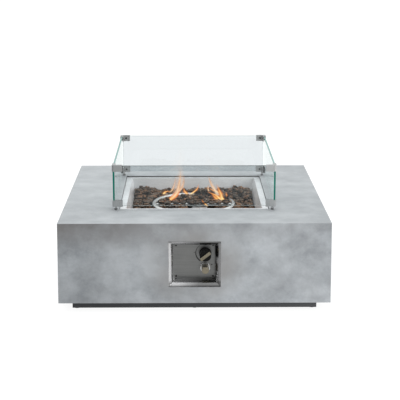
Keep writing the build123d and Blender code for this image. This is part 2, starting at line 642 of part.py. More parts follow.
def igniter_group():
    middle = (SPARK_X + PROBE_X) / 2
    x0, x1 = middle - BRIDGE_W / 2, middle + BRIDGE_W / 2
    y0, y1 = GROUP_Y - BRIDGE_D / 2, GROUP_Y + BRIDGE_D / 2
    top = FLOOR_Z + BRIDGE_UP
    bridge = block(x0, x1, y0, y1, top - BRIDGE_T, top)
    bridge += block(x0, x0 + BRIDGE_T, y0, y1, FLOOR_Z, top)
    bridge += block(x1 - BRIDGE_T, x1, y0, y1, FLOOR_Z, top)
    keep("igniter_shield", bridge)
    at = (SPARK_X, GROUP_Y)
    foot = FLOOR_Z - INSULATOR_FOOT
    spark = rod("z", at, foot, FLOOR_Z + INSULATOR_TOP, INSULATOR_R)
    spark += rod("z", at, FLOOR_Z, FLOOR_Z + COLLAR_H, COLLAR_R)
    spark -= rod("z", at, foot - 1, FLOOR_Z + INSULATOR_TOP + 1, WIRE_R + THREAD_GAP)
    keep("electrode_insulator", spark)
    keep("electrode_wire", rod("z", at, foot, FLOOR_Z + WIRE_TOP, WIRE_R))
    at = (PROBE_X, GROUP_Y)
    probe = rod("z", at, FLOOR_Z - PROBE_FOOT, FLOOR_Z + PROBE_TOP, PROBE_R)
    keep("thermocouple_probe", probe + rod("z", at, FLOOR_Z, FLOOR_Z + COLLAR_H, COLLAR_R))


# ---------------------------------------------------------------- stones
def rounded(u, v):
    """Point of the unit square, moved so that the square's rim lies on a circle."""
    return u * math.sqrt(1 - v * v / 2), v * math.sqrt(1 - u * u / 2)


def grid_point(col, row, half_cells, inner, half, in_ring):
    """Plan point of a grid that is round at the ring and square at the pan's walls."""
    if in_ring:
        x, y = rounded(col / inner, row / inner)
        edge = RING_R - RING_ROOM
        return edge * x, edge * y
    reach = max(abs(col), abs(row))
    u, v = col / reach, row / reach
    x, y = rounded(u, v)
    share = (reach - inner) / (half_cells - inner)
    edge = (1 - share) * (RING_R + RING_ROOM)
    return edge * x + share * half * u, edge * y + share * half * v


def stone_cells(cells, inner, half, draw, jitter):
    """Four-cornered plan cells, inside the ring and outside it, that fill the pan."""
    half_cells = cells // 2
    nudge = {}
    for col in range(-half_cells, half_cells + 1):
        for row in range(-half_cells, half_cells + 1):
            fixed = max(abs(col), abs(row)) in (inner, half_cells)
            size = 0.0 if fixed else jitter
            nudge[col, row] = (draw.uniform(-size, size), draw.uniform(-size, size))
    found = []
    for col in range(-half_cells, half_cells):
        for row in range(-half_cells, half_cells):
            square = [(col, row), (col + 1, row), (col + 1, row + 1), (col, row + 1)]
            in_ring = max(max(abs(c), abs(r)) for c, r in square) <= inner
            corners = []
            for c, r in square:
                x, y = grid_point(c, r, half_cells, inner, half, in_ring)
                dx, dy = nudge[c, r]
                corners.append((x + dx, y + dy))
            found.append(corners)
    return found


def touches(corners, x0, x1, y0, y1):
    """True if a cell's bounds meet a rectangle."""
    xs = [x for x, y in corners]
    ys = [y for x, y in corners]
    return min(xs) < x1 and max(xs) > x0 and min(ys) < y1 and max(ys) > y0


def towards(point, middle, share):
    """Point moved a share of the way out from the middle."""
    return middle[0] + (point[0] - middle[0]) * share, middle[1] + (point[1] - middle[1]) * share


def cell_middle(corners):
    return sum(x for x, y in corners) / 4, sum(y for x, y in corners) / 4


def bed_stone(corners, z0, z1):
    """Flat stone of the lower layer: wide below, narrower above."""
    middle = cell_middle(corners)
    reach = min(math.dist(corner, middle) for corner in corners)
    low = 1 - STONE_GAP / reach
    points = [(*towards(corner, middle, low), z0) for corner in corners]
    points += [(*towards(corner, middle, low - 0.12), z1) for corner in corners]
    sides = [(3, 2, 1, 0), (4, 5, 6, 7)]
    sides += [(n, (n + 1) % 4, (n + 1) % 4 + 4, n + 4) for n in range(4)]
    return polyhedron(points, sides)


def top_stone(corners, z0, height, draw):
    """Chunky stone of the upper layer: it meets each neighbour at its waist."""
    middle = cell_middle(corners)
    waist = []
    for n in range(4):
        a, b = corners[n], corners[(n + 1) % 4]
        side = ((a[0] + b[0]) / 2, (a[1] + b[1]) / 2)
        share = 1 - STONE_GAP / 2 / math.dist(side, middle)
        waist.append((*towards(side, middle, share), z0 + height * draw.uniform(0.40, 0.55)))
    low = [(*towards(corner, middle, STONE_SHRINK), z0) for corner in corners]
    high = []
    for corner in corners:
        share = STONE_SHRINK * draw.uniform(0.8, 1.0)
        high.append((*towards(corner, middle, share), z0 + height * draw.uniform(0.85, 1.0)))
    points = low + waist + high
    sides = [(3, 2, 1, 0), (8, 9, 10), (8, 10, 11)]
    for n in range(4):
        after = (n + 1) % 4
        before = (n - 1) % 4
        sides += [(n, after, 4 + n), (n, 4 + n, 4 + before)]
        sides += [(8 + after, 8 + n, 4 + n), (8 + n, 4 + before, 4 + n)]
    return polyhedron(points, sides)


def pile_height(x, y):
    """How far the stones rise above the lower layer."""
    half = PAN_FLOOR_W / 2
    corner = max(0.0, math.hypot(x, y) / half - 0.7) * max(0.0, 0.55 + 0.45 * y / half)
    mound = max(0.0, 1 - math.hypot(x, y) / RING_R)
    return PILE_LOW + PILE_CORNER * min(1.0, corner) + PILE_MOUND * mound


def stones():
    draw = random.Random(STONE_SEED)
    room = 2.0
    middle = (SPARK_X + PROBE_X) / 2
    bridge = (middle - BRIDGE_W / 2 - room, middle + BRIDGE_W / 2 + room)
    bridge += (GROUP_Y - BRIDGE_D / 2 - room, GROUP_Y + BRIDGE_D / 2 + room)
    nut_room = NIPPLE_NUT_AF / math.sqrt(3) + room
    bed = []
    for corners in stone_cells(BED_CELLS, BED_INNER, pan_half(FLOOR_Z) - STONE_GAP, draw, 3.0):
        if touches(corners, *bridge) or touches(corners, -nut_room, nut_room, -nut_room, nut_room):
            continue
        bed.append(bed_stone(corners, FLOOR_Z + STONE_LIFT, BED_TOP))
    keep("bed_stones", *bed)
    top = []
    for corners in stone_cells(TOP_CELLS, TOP_INNER, pan_half(BED_TOP + 5), draw, 3.5):
        if touches(corners, *bridge):
            continue
        z0 = BED_TOP + STONE_LIFT
        height = pile_height(*cell_middle(corners))
        over_bar = touches(corners, -RING_R, RING_R, -CROSS_R - room, CROSS_R + room)
        over_boss = touches(corners, -BOSS_R - room, BOSS_R + room, -BOSS_R - room, BOSS_R + room)
        inside = math.hypot(*cell_middle(corners)) < RING_R
        if over_boss or (over_bar and inside):
            raised = BOSS_Z1 if over_boss else CROSS_Z + CROSS_R
            height = max(PILE_LOW - 3, z0 + height - raised)
            z0 = raised + STONE_LIFT
        top.append(top_stone(corners, z0, height + draw.uniform(-1.5, 2.5), draw))
    keep("lava_rocks", *top)


# ---------------------------------------------------------------- glass guard
def pane(x0, x1, y0, y1):
    glass = block(x0, x1, y0, y1, GLASS_Z0, GLASS_Z1)
    return chamfer(glass.edges(), GLASS_EDGE_R)


def guard_glass():
    outer = GUARD_W / 2
    inner = outer - GLASS_T
    keep("glass_left", pane(-outer, -inner, -outer, outer))
    keep("glass_right", pane(inner, outer, -outer, outer))
    between = inner - PANE_GAP
    keep("glass_front", pane(-between, between, -outer, -inner))
    keep("glass_back", pane(-between, between, inner, outer))


def corner_clip(z0, z1, glass_low, glass_high):
    """Clip over the corner at +X, +Y, with a slot for both panes between two levels."""
    reach = CLIP_W - CLIP_L
    inside = GUARD_W / 2 - GLASS_T - CLIP_ROOM - CLIP_T
    arm = block(reach, CLIP_W, inside, CLIP_W, z0, z1)
    arm += block(inside, CLIP_W, reach, CLIP_W, z0, z1)
    corner = arm.edges().filter_by(Axis.Z).sort_by(lambda edge: edge.center().X + edge.center().Y)[-1]
    arm = fillet(corner, CLIP_CORNER_R)
    arm = fillet(arm.edges().filter_by(Axis.Z).group_by(Axis.X)[0], 0.8)
    slot_out = GUARD_W / 2 + CLIP_ROOM
    slot_in = GUARD_W / 2 - GLASS_T - CLIP_ROOM
    arm -= block(reach - 1, slot_out, slot_in, slot_out, glass_low, glass_high)
    arm -= block(slot_in, slot_out, reach - 1, slot_out, glass_low, glass_high)
    return arm


def clip_screw_pair(z):
    """Grub screws in the two inner plates of the clip at +X, +Y."""
    at = CLIP_W - CLIP_SCREW_AT
    face = GUARD_W / 2 - GLASS_T - CLIP_ROOM - CLIP_T
    tip = GUARD_W / 2 - GLASS_T
    screw_y = rod("y", (at, z), face - CLIP_SCREW_H, face, CLIP_SCREW_R)
    screw_y += rod("y", (at, z), face - 0.5, tip, CLIP_SCREW_SHANK_R)
    screw_y -= hexagon("y", (at, z), face - CLIP_SCREW_H - 1, face, CLIP_SCREW_HEX)
    screw_x = rod("x", (at, z), face - CLIP_SCREW_H, face, CLIP_SCREW_R)
    screw_x += rod("x", (at, z), face - 0.5, tip, CLIP_SCREW_SHANK_R)
    screw_x -= hexagon("x", (at, z), face - CLIP_SCREW_H - 1, face, CLIP_SCREW_HEX)
    room = CLIP_SCREW_SHANK_R + THREAD_GAP
    holes = [rod("y", (at, z), face - 1, tip, room), rod("x", (at, z), face - 1, tip, room)]
    return [screw_y, screw_x], holes


def guard_clips():
    upper_z0 = GLASS_Z1 + CLIP_T - CLIP_H
    upper = corner_clip(upper_z0, GLASS_Z1 + CLIP_T, upper_z0 - 1, GLASS_Z1 + CLIP_ROOM)
    upper_screws, upper_holes = clip_screw_pair(GLASS_Z1 + CLIP_T - CLIP_H / 2)
    lower_z0 = GLASS_Z0 - CLIP_T
    lower = corner_clip(lower_z0, lower_z0 + CLIP_H, GLASS_Z0 - CLIP_ROOM, lower_z0 + CLIP_H + 1)
    lower_screws, lower_holes = clip_screw_pair(lower_z0 + CLIP_H / 2)
    keep("upper_clips", *four_sides(upper - upper_holes))
    keep("lower_clips", *four_sides(lower - lower_holes))
    screws = upper_screws + lower_screws
    keep("clip_screws", *[copy for screw in screws for copy in four_sides(screw)])
    at = (GUARD_W / 2 - PEG_IN, GUARD_W / 2 - PEG_IN)
    peg_z0 = TABLE_H + TIP_H - TIP_SOCKET
    keep("guard_pegs", *four_sides(rod("z", at, peg_z0, lower_z0, PEG_R)))
    tip = rod("z", at, TABLE_H, TABLE_H + TIP_H, TIP_R)
    tip -= rod("z", at, peg_z0, TABLE_H + TIP_H + 1, PEG_R)
    keep("guard_tips", *four_sides(tip))


# ---------------------------------------------------------------- control box
def plate_screw_places():
    half_w = RECESS_W / 2 - PLATE_SCREW_IN
    half_h = RECESS_H / 2 - PLATE_SCREW_IN
    return [(x, BOX_Z + z) for x in (-half_w, half_w) for z in (-half_h, half_h)]


def front_screw(at, end):
    """Cross-head screw in the control plate."""
    head = rod("y", at, PLATE_Y - PLATE_SCREW_HEAD_H, PLATE_Y, PLATE_SCREW_HEAD_R)
    slot_y = PLATE_Y - PLATE_SCREW_HEAD_H
    reach, half = PLATE_SCREW_R, PLATE_SLOT_W / 2
    head -= block(at[0] - reach, at[0] + reach, slot_y - 1, slot_y + half * 2, at[1] - half, at[1] + half)
    head -= block(at[0] - half, at[0] + half, slot_y - 1, slot_y + half * 2, at[1] - reach, at[1] + reach)
    return head + rod("y", at, PLATE_Y - 0.5, end, PLATE_SCREW_R)


def clamp_web():
    """Distance from the middle to the outer face of each control box bracket's web."""
    return RECESS_W / 2 + BEZEL_EAR + CLAMP_T


def clamp_foot_places():
    """Screws of the control box brackets in the front wall."""
    at = clamp_web() + CLAMP_FOOT / 2
    return [-at, at]


def clamp_tab_places():
    """Screws that hold the bezel's ears to the brackets' tabs."""
    at = clamp_web() - CLAMP_T - CLAMP_TAB / 2
    return [-at, at]


def control_box():
    thick = 2 * BEZEL_T
    back = BOX_BACK + BEZEL_T
    slope = BOX_FLARE / BOX_DEPTH
    extra = 2 * slope * BEZEL_T
    bezel = funnel(BOX_W, BOX_H, BEZEL_Y, RECESS_W - extra + thick, RECESS_H - extra + thick, back)
    half_w = RECESS_W / 2 + BEZEL_EAR
    bezel += block(-half_w, half_w, BOX_BACK, back, BOX_Z - RECESS_H / 2, BOX_Z + RECESS_H / 2)
    bezel -= funnel(BOX_W - thick, BOX_H - thick, BEZEL_Y, RECESS_W, RECESS_H, BOX_BACK)
    lip_w = RECESS_W / 2 - BEZEL_LIP
    lip_h = RECESS_H / 2 - BEZEL_LIP
    bezel -= block(-lip_w, lip_w, BOX_BACK - 1, back + 1, BOX_Z - lip_h, BOX_Z + lip_h)
    room = PLATE_SCREW_R + HOLE_GAP
    bezel -= [rod("y", at, BOX_BACK - 1, back + 1, room) for at in plate_screw_places()]
    bezel -= [rod("y", (x, BOX_Z), BOX_BACK - 1, back + 1, room) for x in clamp_tab_places()]
    keep("control_bezel", bezel)

    half_w = RECESS_W / 2 - PLATE_GAP
    half_h = RECESS_H / 2 - PLATE_GAP
    plate = block(-half_w, half_w, PLATE_Y, BOX_BACK, BOX_Z - half_h, BOX_Z + half_h)
    plate -= [rod("y", at, PLATE_Y - 1, BOX_BACK + 1, room) for at in plate_screw_places()]
    plate -= rod("y", (KNOB_X, KNOB_Z), PLATE_Y - 1, BOX_BACK + 1, STEM_R + 1)
    plate -= rod("y", (KNOB_X, BUTTON_Z), PLATE_Y - 1, BOX_BACK + 1, IGNITER_NECK_R + IGNITER_HOLE_GAP)
    plate -= [rod("y", at, PLATE_Y - 1, BOX_BACK + 1, room) for at in valve_screw_places()]
    keep("control_plate", plate)

    screws = [front_screw(at, BOX_BACK + VALVE_SCREW_L - 1) for at in valve_screw_places()]
    for at in plate_screw_places():
        screws.append(front_screw(at, back + PLATE_NUT_H + 2))
        nut = hexagon("y", at, back, back + PLATE_NUT_H, PLATE_NUT_AF)
        screws.append(nut - rod("y", at, back - 1, back + PLATE_NUT_H + 1, PLATE_SCREW_R + THREAD_GAP))
    keep("plate_screws", *screws)


def control_brackets():
    back = BOX_BACK + BEZEL_T
    room = PLATE_SCREW_R + HOLE_GAP
    brackets = []
    screws = []
    for side in (-1, 1):
        web = side * clamp_web()
        z0, z1 = BOX_Z - CLAMP_H / 2, BOX_Z + CLAMP_H / 2

        def strip(a, b, y0, y1):
            return block(min(a, b), max(a, b), y0, y1, z0, z1)

        piece = strip(web, web + side * CLAMP_FOOT, -INNER, -INNER + CLAMP_T)
        piece += strip(web, web - side * CLAMP_T, -INNER, back + CLAMP_T)
        piece += strip(web, web - side * (CLAMP_T + CLAMP_TAB), back, back + CLAMP_T)
        foot = (side * abs(clamp_foot_places()[0]), BOX_Z)
        tab = (side * abs(clamp_tab_places()[0]), BOX_Z)
        piece -= rod("y", foot, -INNER - 1, -INNER + CLAMP_T + 1, room)
        piece -= rod("y", tab, back - 1, back + CLAMP_T + 1, room)
        brackets.append(piece)
        screw = rod("y", foot, -INNER + CLAMP_T, -INNER + CLAMP_T + PLATE_SCREW_HEAD_H, PLATE_SCREW_HEAD_R)
        screws.append(screw + rod("y", foot, -INNER - BOLT_GRIP + 1, -INNER + CLAMP_T + 0.5, PLATE_SCREW_R))
        head_y = back + CLAMP_T
        screw = rod("y", tab, head_y, head_y + PLATE_SCREW_HEAD_H, PLATE_SCREW_HEAD_R)
        screws.append(screw + rod("y", tab, BOX_BACK - 3, head_y + 0.5, PLATE_SCREW_R))
    keep("control_brackets", *brackets)
    keep("bracket_screws", *screws, *hose_clip_screws())


# ---------------------------------------------------------------- gas valve and knob
def valve_screw_places():
    return [(KNOB_X - VALVE_SCREW_AT, KNOB_Z), (KNOB_X + VALVE_SCREW_AT, KNOB_Z)]


def valve():
    axis = (KNOB_X, KNOB_Z)
    x0, x1 = KNOB_X - VALVE_W / 2, KNOB_X + VALVE_W / 2
    z1 = KNOB_Z + VALVE_H / 2 - 2
    body = block(x0, x1, BOX_BACK, VALVE_BACK, z1 - VALVE_H, z1)
    body = fillet(body.edges().filter_by(Axis.Y), 3)
    outlet = (KNOB_X, KNOB_Z - OUTLET_DROP)
    inlet = (BOX_BACK + INLET_BACK, KNOB_Z - INLET_DROP)
    sensor = (KNOB_X + SENSOR_X, KNOB_Z + SENSOR_UP)
    body += rod("y", outlet, VALVE_BACK - 1, VALVE_BACK + VALVE_PORT_L, VALVE_PORT_R)
    body += rod("x", inlet, x1 - 1, x1 + VALVE_PORT_L, VALVE_PORT_R)
    body += rod("y", sensor, VALVE_BACK - 1, VALVE_BACK + SENSOR_PORT_L, SENSOR_PORT_R)
    body -= rod("y", axis, BOX_BACK - 1, CHAMBER_Y1 + STEM_TAIL + PRESS + 1, STEM_R + RUNNING_GAP)
    body -= rod("y", axis, CHAMBER_Y0, CHAMBER_Y1, CHAMBER_R)
    body -= rod("y", outlet, VALVE_BACK - 6, VALVE_BACK + VALVE_PORT_L + 1, VALVE_PORT_BORE_R)
    body -= rod("x", inlet, x1 - 6, x1 + VALVE_PORT_L + 1, VALVE_PORT_BORE_R)
    body -= rod("y", sensor, VALVE_BACK - 4, VALVE_BACK + SENSOR_PORT_L + 1, SENSOR_LEAD_R + THREAD_GAP)
    screw_room = PLATE_SCREW_R + THREAD_GAP
    body -= [rod("y", at, BOX_BACK - 1, BOX_BACK + VALVE_SCREW_L, screw_room) for at in valve_screw_places()]
    keep("valve_body", body)

    shoulder_y0 = CHAMBER_Y0 + SEAT_GAP
    washer_y0 = shoulder_y0 + STEM_SHOULDER_H + SEAT_GAP
    stem = rod("y", axis, KNOB_BACK - STEM_IN_KNOB, CHAMBER_Y1 + STEM_TAIL, STEM_R)
    stem += rod("y", axis, shoulder_y0, shoulder_y0 + STEM_SHOULDER_H, STEM_SHOULDER_R)
    flat_y = KNOB_BACK - STEM_IN_KNOB - 1
    flat_z = KNOB_Z + STEM_FLAT
    stem -= block(KNOB_X - STEM_R, KNOB_X + STEM_R, flat_y, KNOB_BACK, flat_z, KNOB_Z + STEM_R)
    keep("valve_stem", stem)
    washer = rod("y", axis, washer_y0, washer_y0 + WASHER_T, WASHER_R)
    washer -= rod("y", axis, washer_y0 - 1, washer_y0 + WASHER_T + 1, STEM_R + RUNNING_GAP)
    keep("spring_washer", washer)
    spring_r = (STEM_R + CHAMBER_R) / 2
    spring_y0 = washer_y0 + WASHER_T + SEAT_GAP
    keep("valve_spring", coil(axis, spring_y0, CHAMBER_Y1 - SEAT_GAP, spring_r, SPRING_WIRE_R, SPRING_TURNS))


def knob():
    axis = (KNOB_X, KNOB_Z)
    body = rod("y", axis, KNOB_FACE, KNOB_BACK, KNOB_FACE_R)
    body = fillet(body.edges().sort_by(Axis.Y)[0], 1.5)
    skirt = rod("y", axis, KNOB_BACK - KNOB_SKIRT_H, KNOB_BACK, KNOB_R)
    body += chamfer(skirt.edges().sort_by(Axis.Y)[0], 1.2)
    hollow = rod("y", axis, KNOB_BACK - KNOB_HOLLOW, KNOB_BACK + 1, KNOB_HOLLOW_R)
    hollow -= rod("y", axis, KNOB_BACK - KNOB_HOLLOW - 1, KNOB_BACK - KNOB_HUB_BACK, KNOB_HUB_R)
    body -= hollow
    bore = rod("y", axis, KNOB_BACK - STEM_IN_KNOB, KNOB_BACK + 1, STEM_R + THREAD_GAP)
    x0, x1 = KNOB_X - STEM_R - 1, KNOB_X + STEM_R + 1
    flat_z = KNOB_Z + STEM_FLAT + THREAD_GAP
    bore -= block(x0, x1, KNOB_FACE, KNOB_BACK - KNOB_HUB_BACK, flat_z, flat_z + STEM_R)
    body -= bore
    turn = Pos(KNOB_X, 0, KNOB_Z) * Rot(0, -GRIP_TILT, 0)
    seat = KNOB_FACE + GRIP_SEAT
    body -= turn * block(-KNOB_R - 1, KNOB_R + 1, KNOB_FACE - 1, seat, -GRIP_W / 2, GRIP_W / 2)
    screw_y = KNOB_BACK - KNOB_HOLLOW - 4
    body -= rod("z", (KNOB_X, screw_y), KNOB_Z - KNOB_R, KNOB_Z, PLATE_SCREW_R + THREAD_GAP)
    keep("knob_body", body)
    grip = turn * block(-GRIP_L / 2, GRIP_L / 2, KNOB_FACE - GRIP_OUT, seat, -GRIP_W / 2, GRIP_W / 2)
    grip = grip & rod("y", axis, KNOB_FACE - GRIP_OUT - 1, seat + 1, GRIP_L / 2)
    keep("knob_grip", chamfer(grip.edges().group_by(Axis.Y)[0], 0.8))
    low = KNOB_Z - KNOB_FACE_R + 3
    screw = rod("z", (KNOB_X, screw_y), low, KNOB_Z - STEM_R, PLATE_SCREW_R)
    keep("knob_set_screw", screw - hexagon("z", (KNOB_X, screw_y), low - 1, low + 2.5, PLATE_SCREW_R))


# ---------------------------------------------------------------- push igniter
def push_igniter():
    axis = (KNOB_X, BUTTON_Z)
    bezel = rod("y", axis, PLATE_Y - IGNITER_FLANGE_H, PLATE_Y, IGNITER_FLANGE_R)
    bezel = fillet(bezel.edges().sort_by(Axis.Y)[0], 1.5)
    bezel += rod("y", axis, PLATE_Y - IGNITER_COLLAR_H, PLATE_Y, IGNITER_COLLAR_R)
    bezel += rod("y", axis, PLATE_Y - 1, NECK_BACK, IGNITER_NECK_R)
    bezel -= rod("y", axis, PLATE_Y - IGNITER_COLLAR_H - 1, BOX_BACK + 1, BUTTON_R + RUNNING_GAP)
    bezel -= rod("y", axis, BOX_BACK, NECK_BACK + 1, BUTTON_LIP_R + RUNNING_GAP)
    keep("igniter_bezel", bezel)

    nut_end = BOX_BACK + IGNITER_NUT_H
    nut = hexagon("y", axis, BOX_BACK, nut_end, IGNITER_NUT_AF)
    nut -= rod("y", axis, BOX_BACK - 1, nut_end + 1, IGNITER_NECK_R + THREAD_GAP)
    keep("igniter_nut", nut)

    cap = rod("y", axis, BUTTON_FACE, BUTTON_BACK + BUTTON_LIP_H, BUTTON_R)
    cap = fillet(cap.edges().sort_by(Axis.Y)[0], 1.2)
    cap += rod("y", axis, BUTTON_BACK, BUTTON_BACK + BUTTON_LIP_H, BUTTON_LIP_R)
    cap -= rod("y", axis, BUTTON_FACE + 3, BUTTON_BACK + BUTTON_LIP_H + 1, BUTTON_R - BUTTON_WALL)
    keep("igniter_cap", cap)

    spring_r = BUTTON_R - BUTTON_WALL / 2
    spring_y0 = BUTTON_BACK + BUTTON_LIP_H + SEAT_GAP
    floor_y = NECK_BACK + 0.5
    turns = SPRING_TURNS - 2
    keep("igniter_spring", coil(axis, spring_y0, floor_y - SEAT_GAP, spring_r, SPRING_WIRE_R, turns))

    housing = rod("y", axis, HOUSING_Y0, HOUSING_Y1, HOUSING_R)
    housing -= rod("y", axis, HOUSING_Y0 - 1, floor_y, IGNITER_NECK_R + THREAD_GAP)
    housing -= rod("y", axis, floor_y - 1, HOUSING_Y1 - HOUSING_END, HOUSING_BORE_R)
    housing += rod("y", axis, HOUSING_Y1 - 0.5, HOUSING_Y1 + HOUSING_END, LEAD_R + 2)
    housing -= rod("y", axis, HOUSING_Y1 - 1, HOUSING_Y1 + HOUSING_END + 1, LEAD_R + THREAD_GAP)
    keep("igniter_housing", housing)

    battery_y1 = HOUSING_Y1 - HOUSING_END
    battery_y0 = battery_y1 - BATTERY_L
    battery = rod("y", axis, battery_y0, battery_y1, BATTERY_R)
    battery += rod("y", axis, battery_y0 - BATTERY_TIP_H, battery_y0 + 1, BATTERY_TIP_R)
    keep("igniter_battery", battery)


# ---------------------------------------------------------------- inlet, hoses and leads
def inlet_bolt_places():
    return [(x, INLET_Z + z) for x, z in four_corners(INLET_BOLT_AT)]


def inlet_bolts():
    """The same bolts as the shell brackets', in the inlet bracket."""
    bolts = []
    for at in inlet_bolt_places():
        bolt = rod("y", at, INLET_Y - BOLT_HEAD_H, INLET_Y, BOLT_HEAD_R)
        bolts.append(bolt + rod("y", at, INLET_Y - 1, INNER + BOLT_GRIP - 1, BOLT_R))
    return bolts


def gas_inlet():
    half = INLET_PLATE_W / 2
    axis = (0, INLET_Z)
    plate = block(-half, half, INLET_Y, INNER, INLET_Z - half, INLET_Z + half)
    plate -= rod("y", axis, INLET_Y - 1, INNER + 1, INLET_BODY_R + THREAD_GAP)
    for at in inlet_bolt_places():
        plate -= rod("y", at, INLET_Y - 1, INNER + 1, BOLT_HOLE_R)
    keep("inlet_bracket", plate)
    nut_end = INNER + INLET_NUT_H
    fitting = rod("y", axis, INLET_Y - INLET_IN, nut_end + INLET_OUT, INLET_R)
    fitting += hexagon("y", axis, INLET_Y - INLET_HEX_H, INLET_Y, INLET_HEX_AF)
    fitting += rod("y", axis, INLET_Y - 1, nut_end, INLET_BODY_R)
    fitting -= rod("y", axis, INLET_Y - INLET_IN - 1, nut_end + INLET_OUT + 1, INLET_BORE_R)
    keep("inlet_fitting", fitting)
    nut = hexagon("y", axis, INNER, nut_end, INLET_NUT_AF)
    keep("inlet_locknut", nut - rod("y", axis, INNER - 1, nut_end + 1, INLET_BODY_R + THREAD_GAP))


def hose_nut(axis, at, fitting_end, hose_side, fitting_r):
    """Flare nut: it laps the fitting, and the hose ends inside it at the fitting's face."""
    low = fitting_end - HOSE_LAP if hose_side > 0 else fitting_end + HOSE_LAP - HOSE_NUT_H
    nut = hexagon(axis, at, low, low + HOSE_NUT_H, max(HOSE_NUT_AF, 2 * fitting_r + 3))
    room_low, room_high = (low - 1, fitting_end) if hose_side > 0 else (fitting_end, low + HOSE_NUT_H + 1)
    nut -= rod(axis, at, room_low, room_high, fitting_r + THREAD_GAP)
    return nut - rod(axis, at, low - 1, low + HOSE_NUT_H + 1, HOSE_R + THREAD_GAP)


def supply_route():
    """From the valve's inlet, down and along the right-hand bar, to the rear inlet."""
    x = KNOB_X + VALVE_W / 2 + VALVE_PORT_L
    y = BOX_BACK + INLET_BACK
    z = KNOB_Z - INLET_DROP
    end = (0, INLET_Y - INLET_IN, INLET_Z)
    falling = SUPPLY_LOW + 0.6 * HOSE_BEND
    middle = [(x + HOSE_BEND, y, z), (0.96 * SUPPLY_SIDE, -0.675 * INNER, falling)]
    middle += [(SUPPLY_SIDE, -0.42 * INNER, SUPPLY_LOW), (0.98 * SUPPLY_SIDE, -0.05 * INNER, SUPPLY_LOW)]
    middle += [(0.87 * SUPPLY_SIDE, 0.325 * INNER, SUPPLY_LOW)]
    middle += [(0.5 * SUPPLY_SIDE, 0.61 * INNER, SUPPLY_LOW + HOSE_R), (0, end[1] - HOSE_BEND, INLET_Z)]
    return [(x, y, z), *middle, end]


def burner_route():
    """From the valve's outlet to the jet, below the heat shield."""
    start = (KNOB_X, VALVE_BACK + VALVE_PORT_L, KNOB_Z - OUTLET_DROP)
    end = (0, 0, JET_Z0 - INLET_HEX_H)
    falling = (HOSE_R, (start[1] + BURNER_BEND) / 2 - HOSE_LAP, BURNER_HOSE_LOW + 3 * HOSE_R)
    middle = [(KNOB_X, start[1] + BURNER_BEND, start[2]), falling, (0, 0, BURNER_HOSE_LOW)]
    return [start, *middle, end]


def hose_clip_places():
    """Middles of the supply hose's two straight runs along the base panel, turned to lie along them."""
    route = supply_route()
    places = []
    for (x0, y0, z), (x1, y1, z) in (route[3:5], route[4:6]):
        lean = math.degrees(math.atan2(x1 - x0, y1 - y0))
        places.append(Pos((x0 + x1) / 2, (y0 + y1) / 2, 0) * Rot(0, 0, -lean))
    return places


def hoses():
    keep("supply_hose", along(supply_route(), HOSE_R, HOSE_BORE_R))
    keep("burner_hose", along(burner_route(), HOSE_R, HOSE_BORE_R))
    inlet_at = (BOX_BACK + INLET_BACK, KNOB_Z - INLET_DROP)
    outlet_at = (KNOB_X, KNOB_Z - OUTLET_DROP)
    nuts = [hose_nut("x", inlet_at, KNOB_X + VALVE_W / 2 + VALVE_PORT_L, 1, VALVE_PORT_R)]
    nuts.append(hose_nut("y", outlet_at, VALVE_BACK + VALVE_PORT_L, 1, VALVE_PORT_R))
    nuts.append(hose_nut("z", (0, 0), JET_Z0 - INLET_HEX_H, -1, HOSE_R))
    nuts.append(hose_nut("y", (0, INLET_Z), INLET_Y - INLET_IN, -1, INLET_R))
    keep("hose_nuts", *nuts)


def hose_clips():
    """A band round the hose on an upright leg, and a foot with its screw on the base panel."""
    half = HOSE_CLIP_W / 2
    room = HOSE_R + SEAT_GAP
    at = (HOSE_CLIP_SCREW_AT, 0)
    clip = rod("y", (0, SUPPLY_LOW), -half, half, room + HOSE_CLIP_T)
    clip += block(room, room + HOSE_CLIP_T, -half, half, PANEL_TOP, SUPPLY_LOW)
    tip = HOSE_CLIP_SCREW_AT + HOSE_CLIP_FOOT / 2
    clip += block(room, tip, -half, half, PANEL_TOP, PANEL_TOP + HOSE_CLIP_T)
    clip -= rod("y", (0, SUPPLY_LOW), -half - 1, half + 1, room)
    clip -= rod("z", at, PANEL_TOP - 1, PANEL_TOP + HOSE_CLIP_T + 1, PLATE_SCREW_R + THREAD_GAP)
    keep("hose_clips", *[place * clip for place in hose_clip_places()])


def hose_clip_screws():
    head_z = PANEL_TOP + HOSE_CLIP_T
    at = (HOSE_CLIP_SCREW_AT, 0)
    screw = rod("z", at, head_z, head_z + PLATE_SCREW_HEAD_H, PLATE_SCREW_HEAD_R)
    screw += rod("z", at, SHELL_Z - PLATE_NUT_H, head_z + 0.5, PLATE_SCREW_R)
    return [place * screw for place in hose_clip_places()]


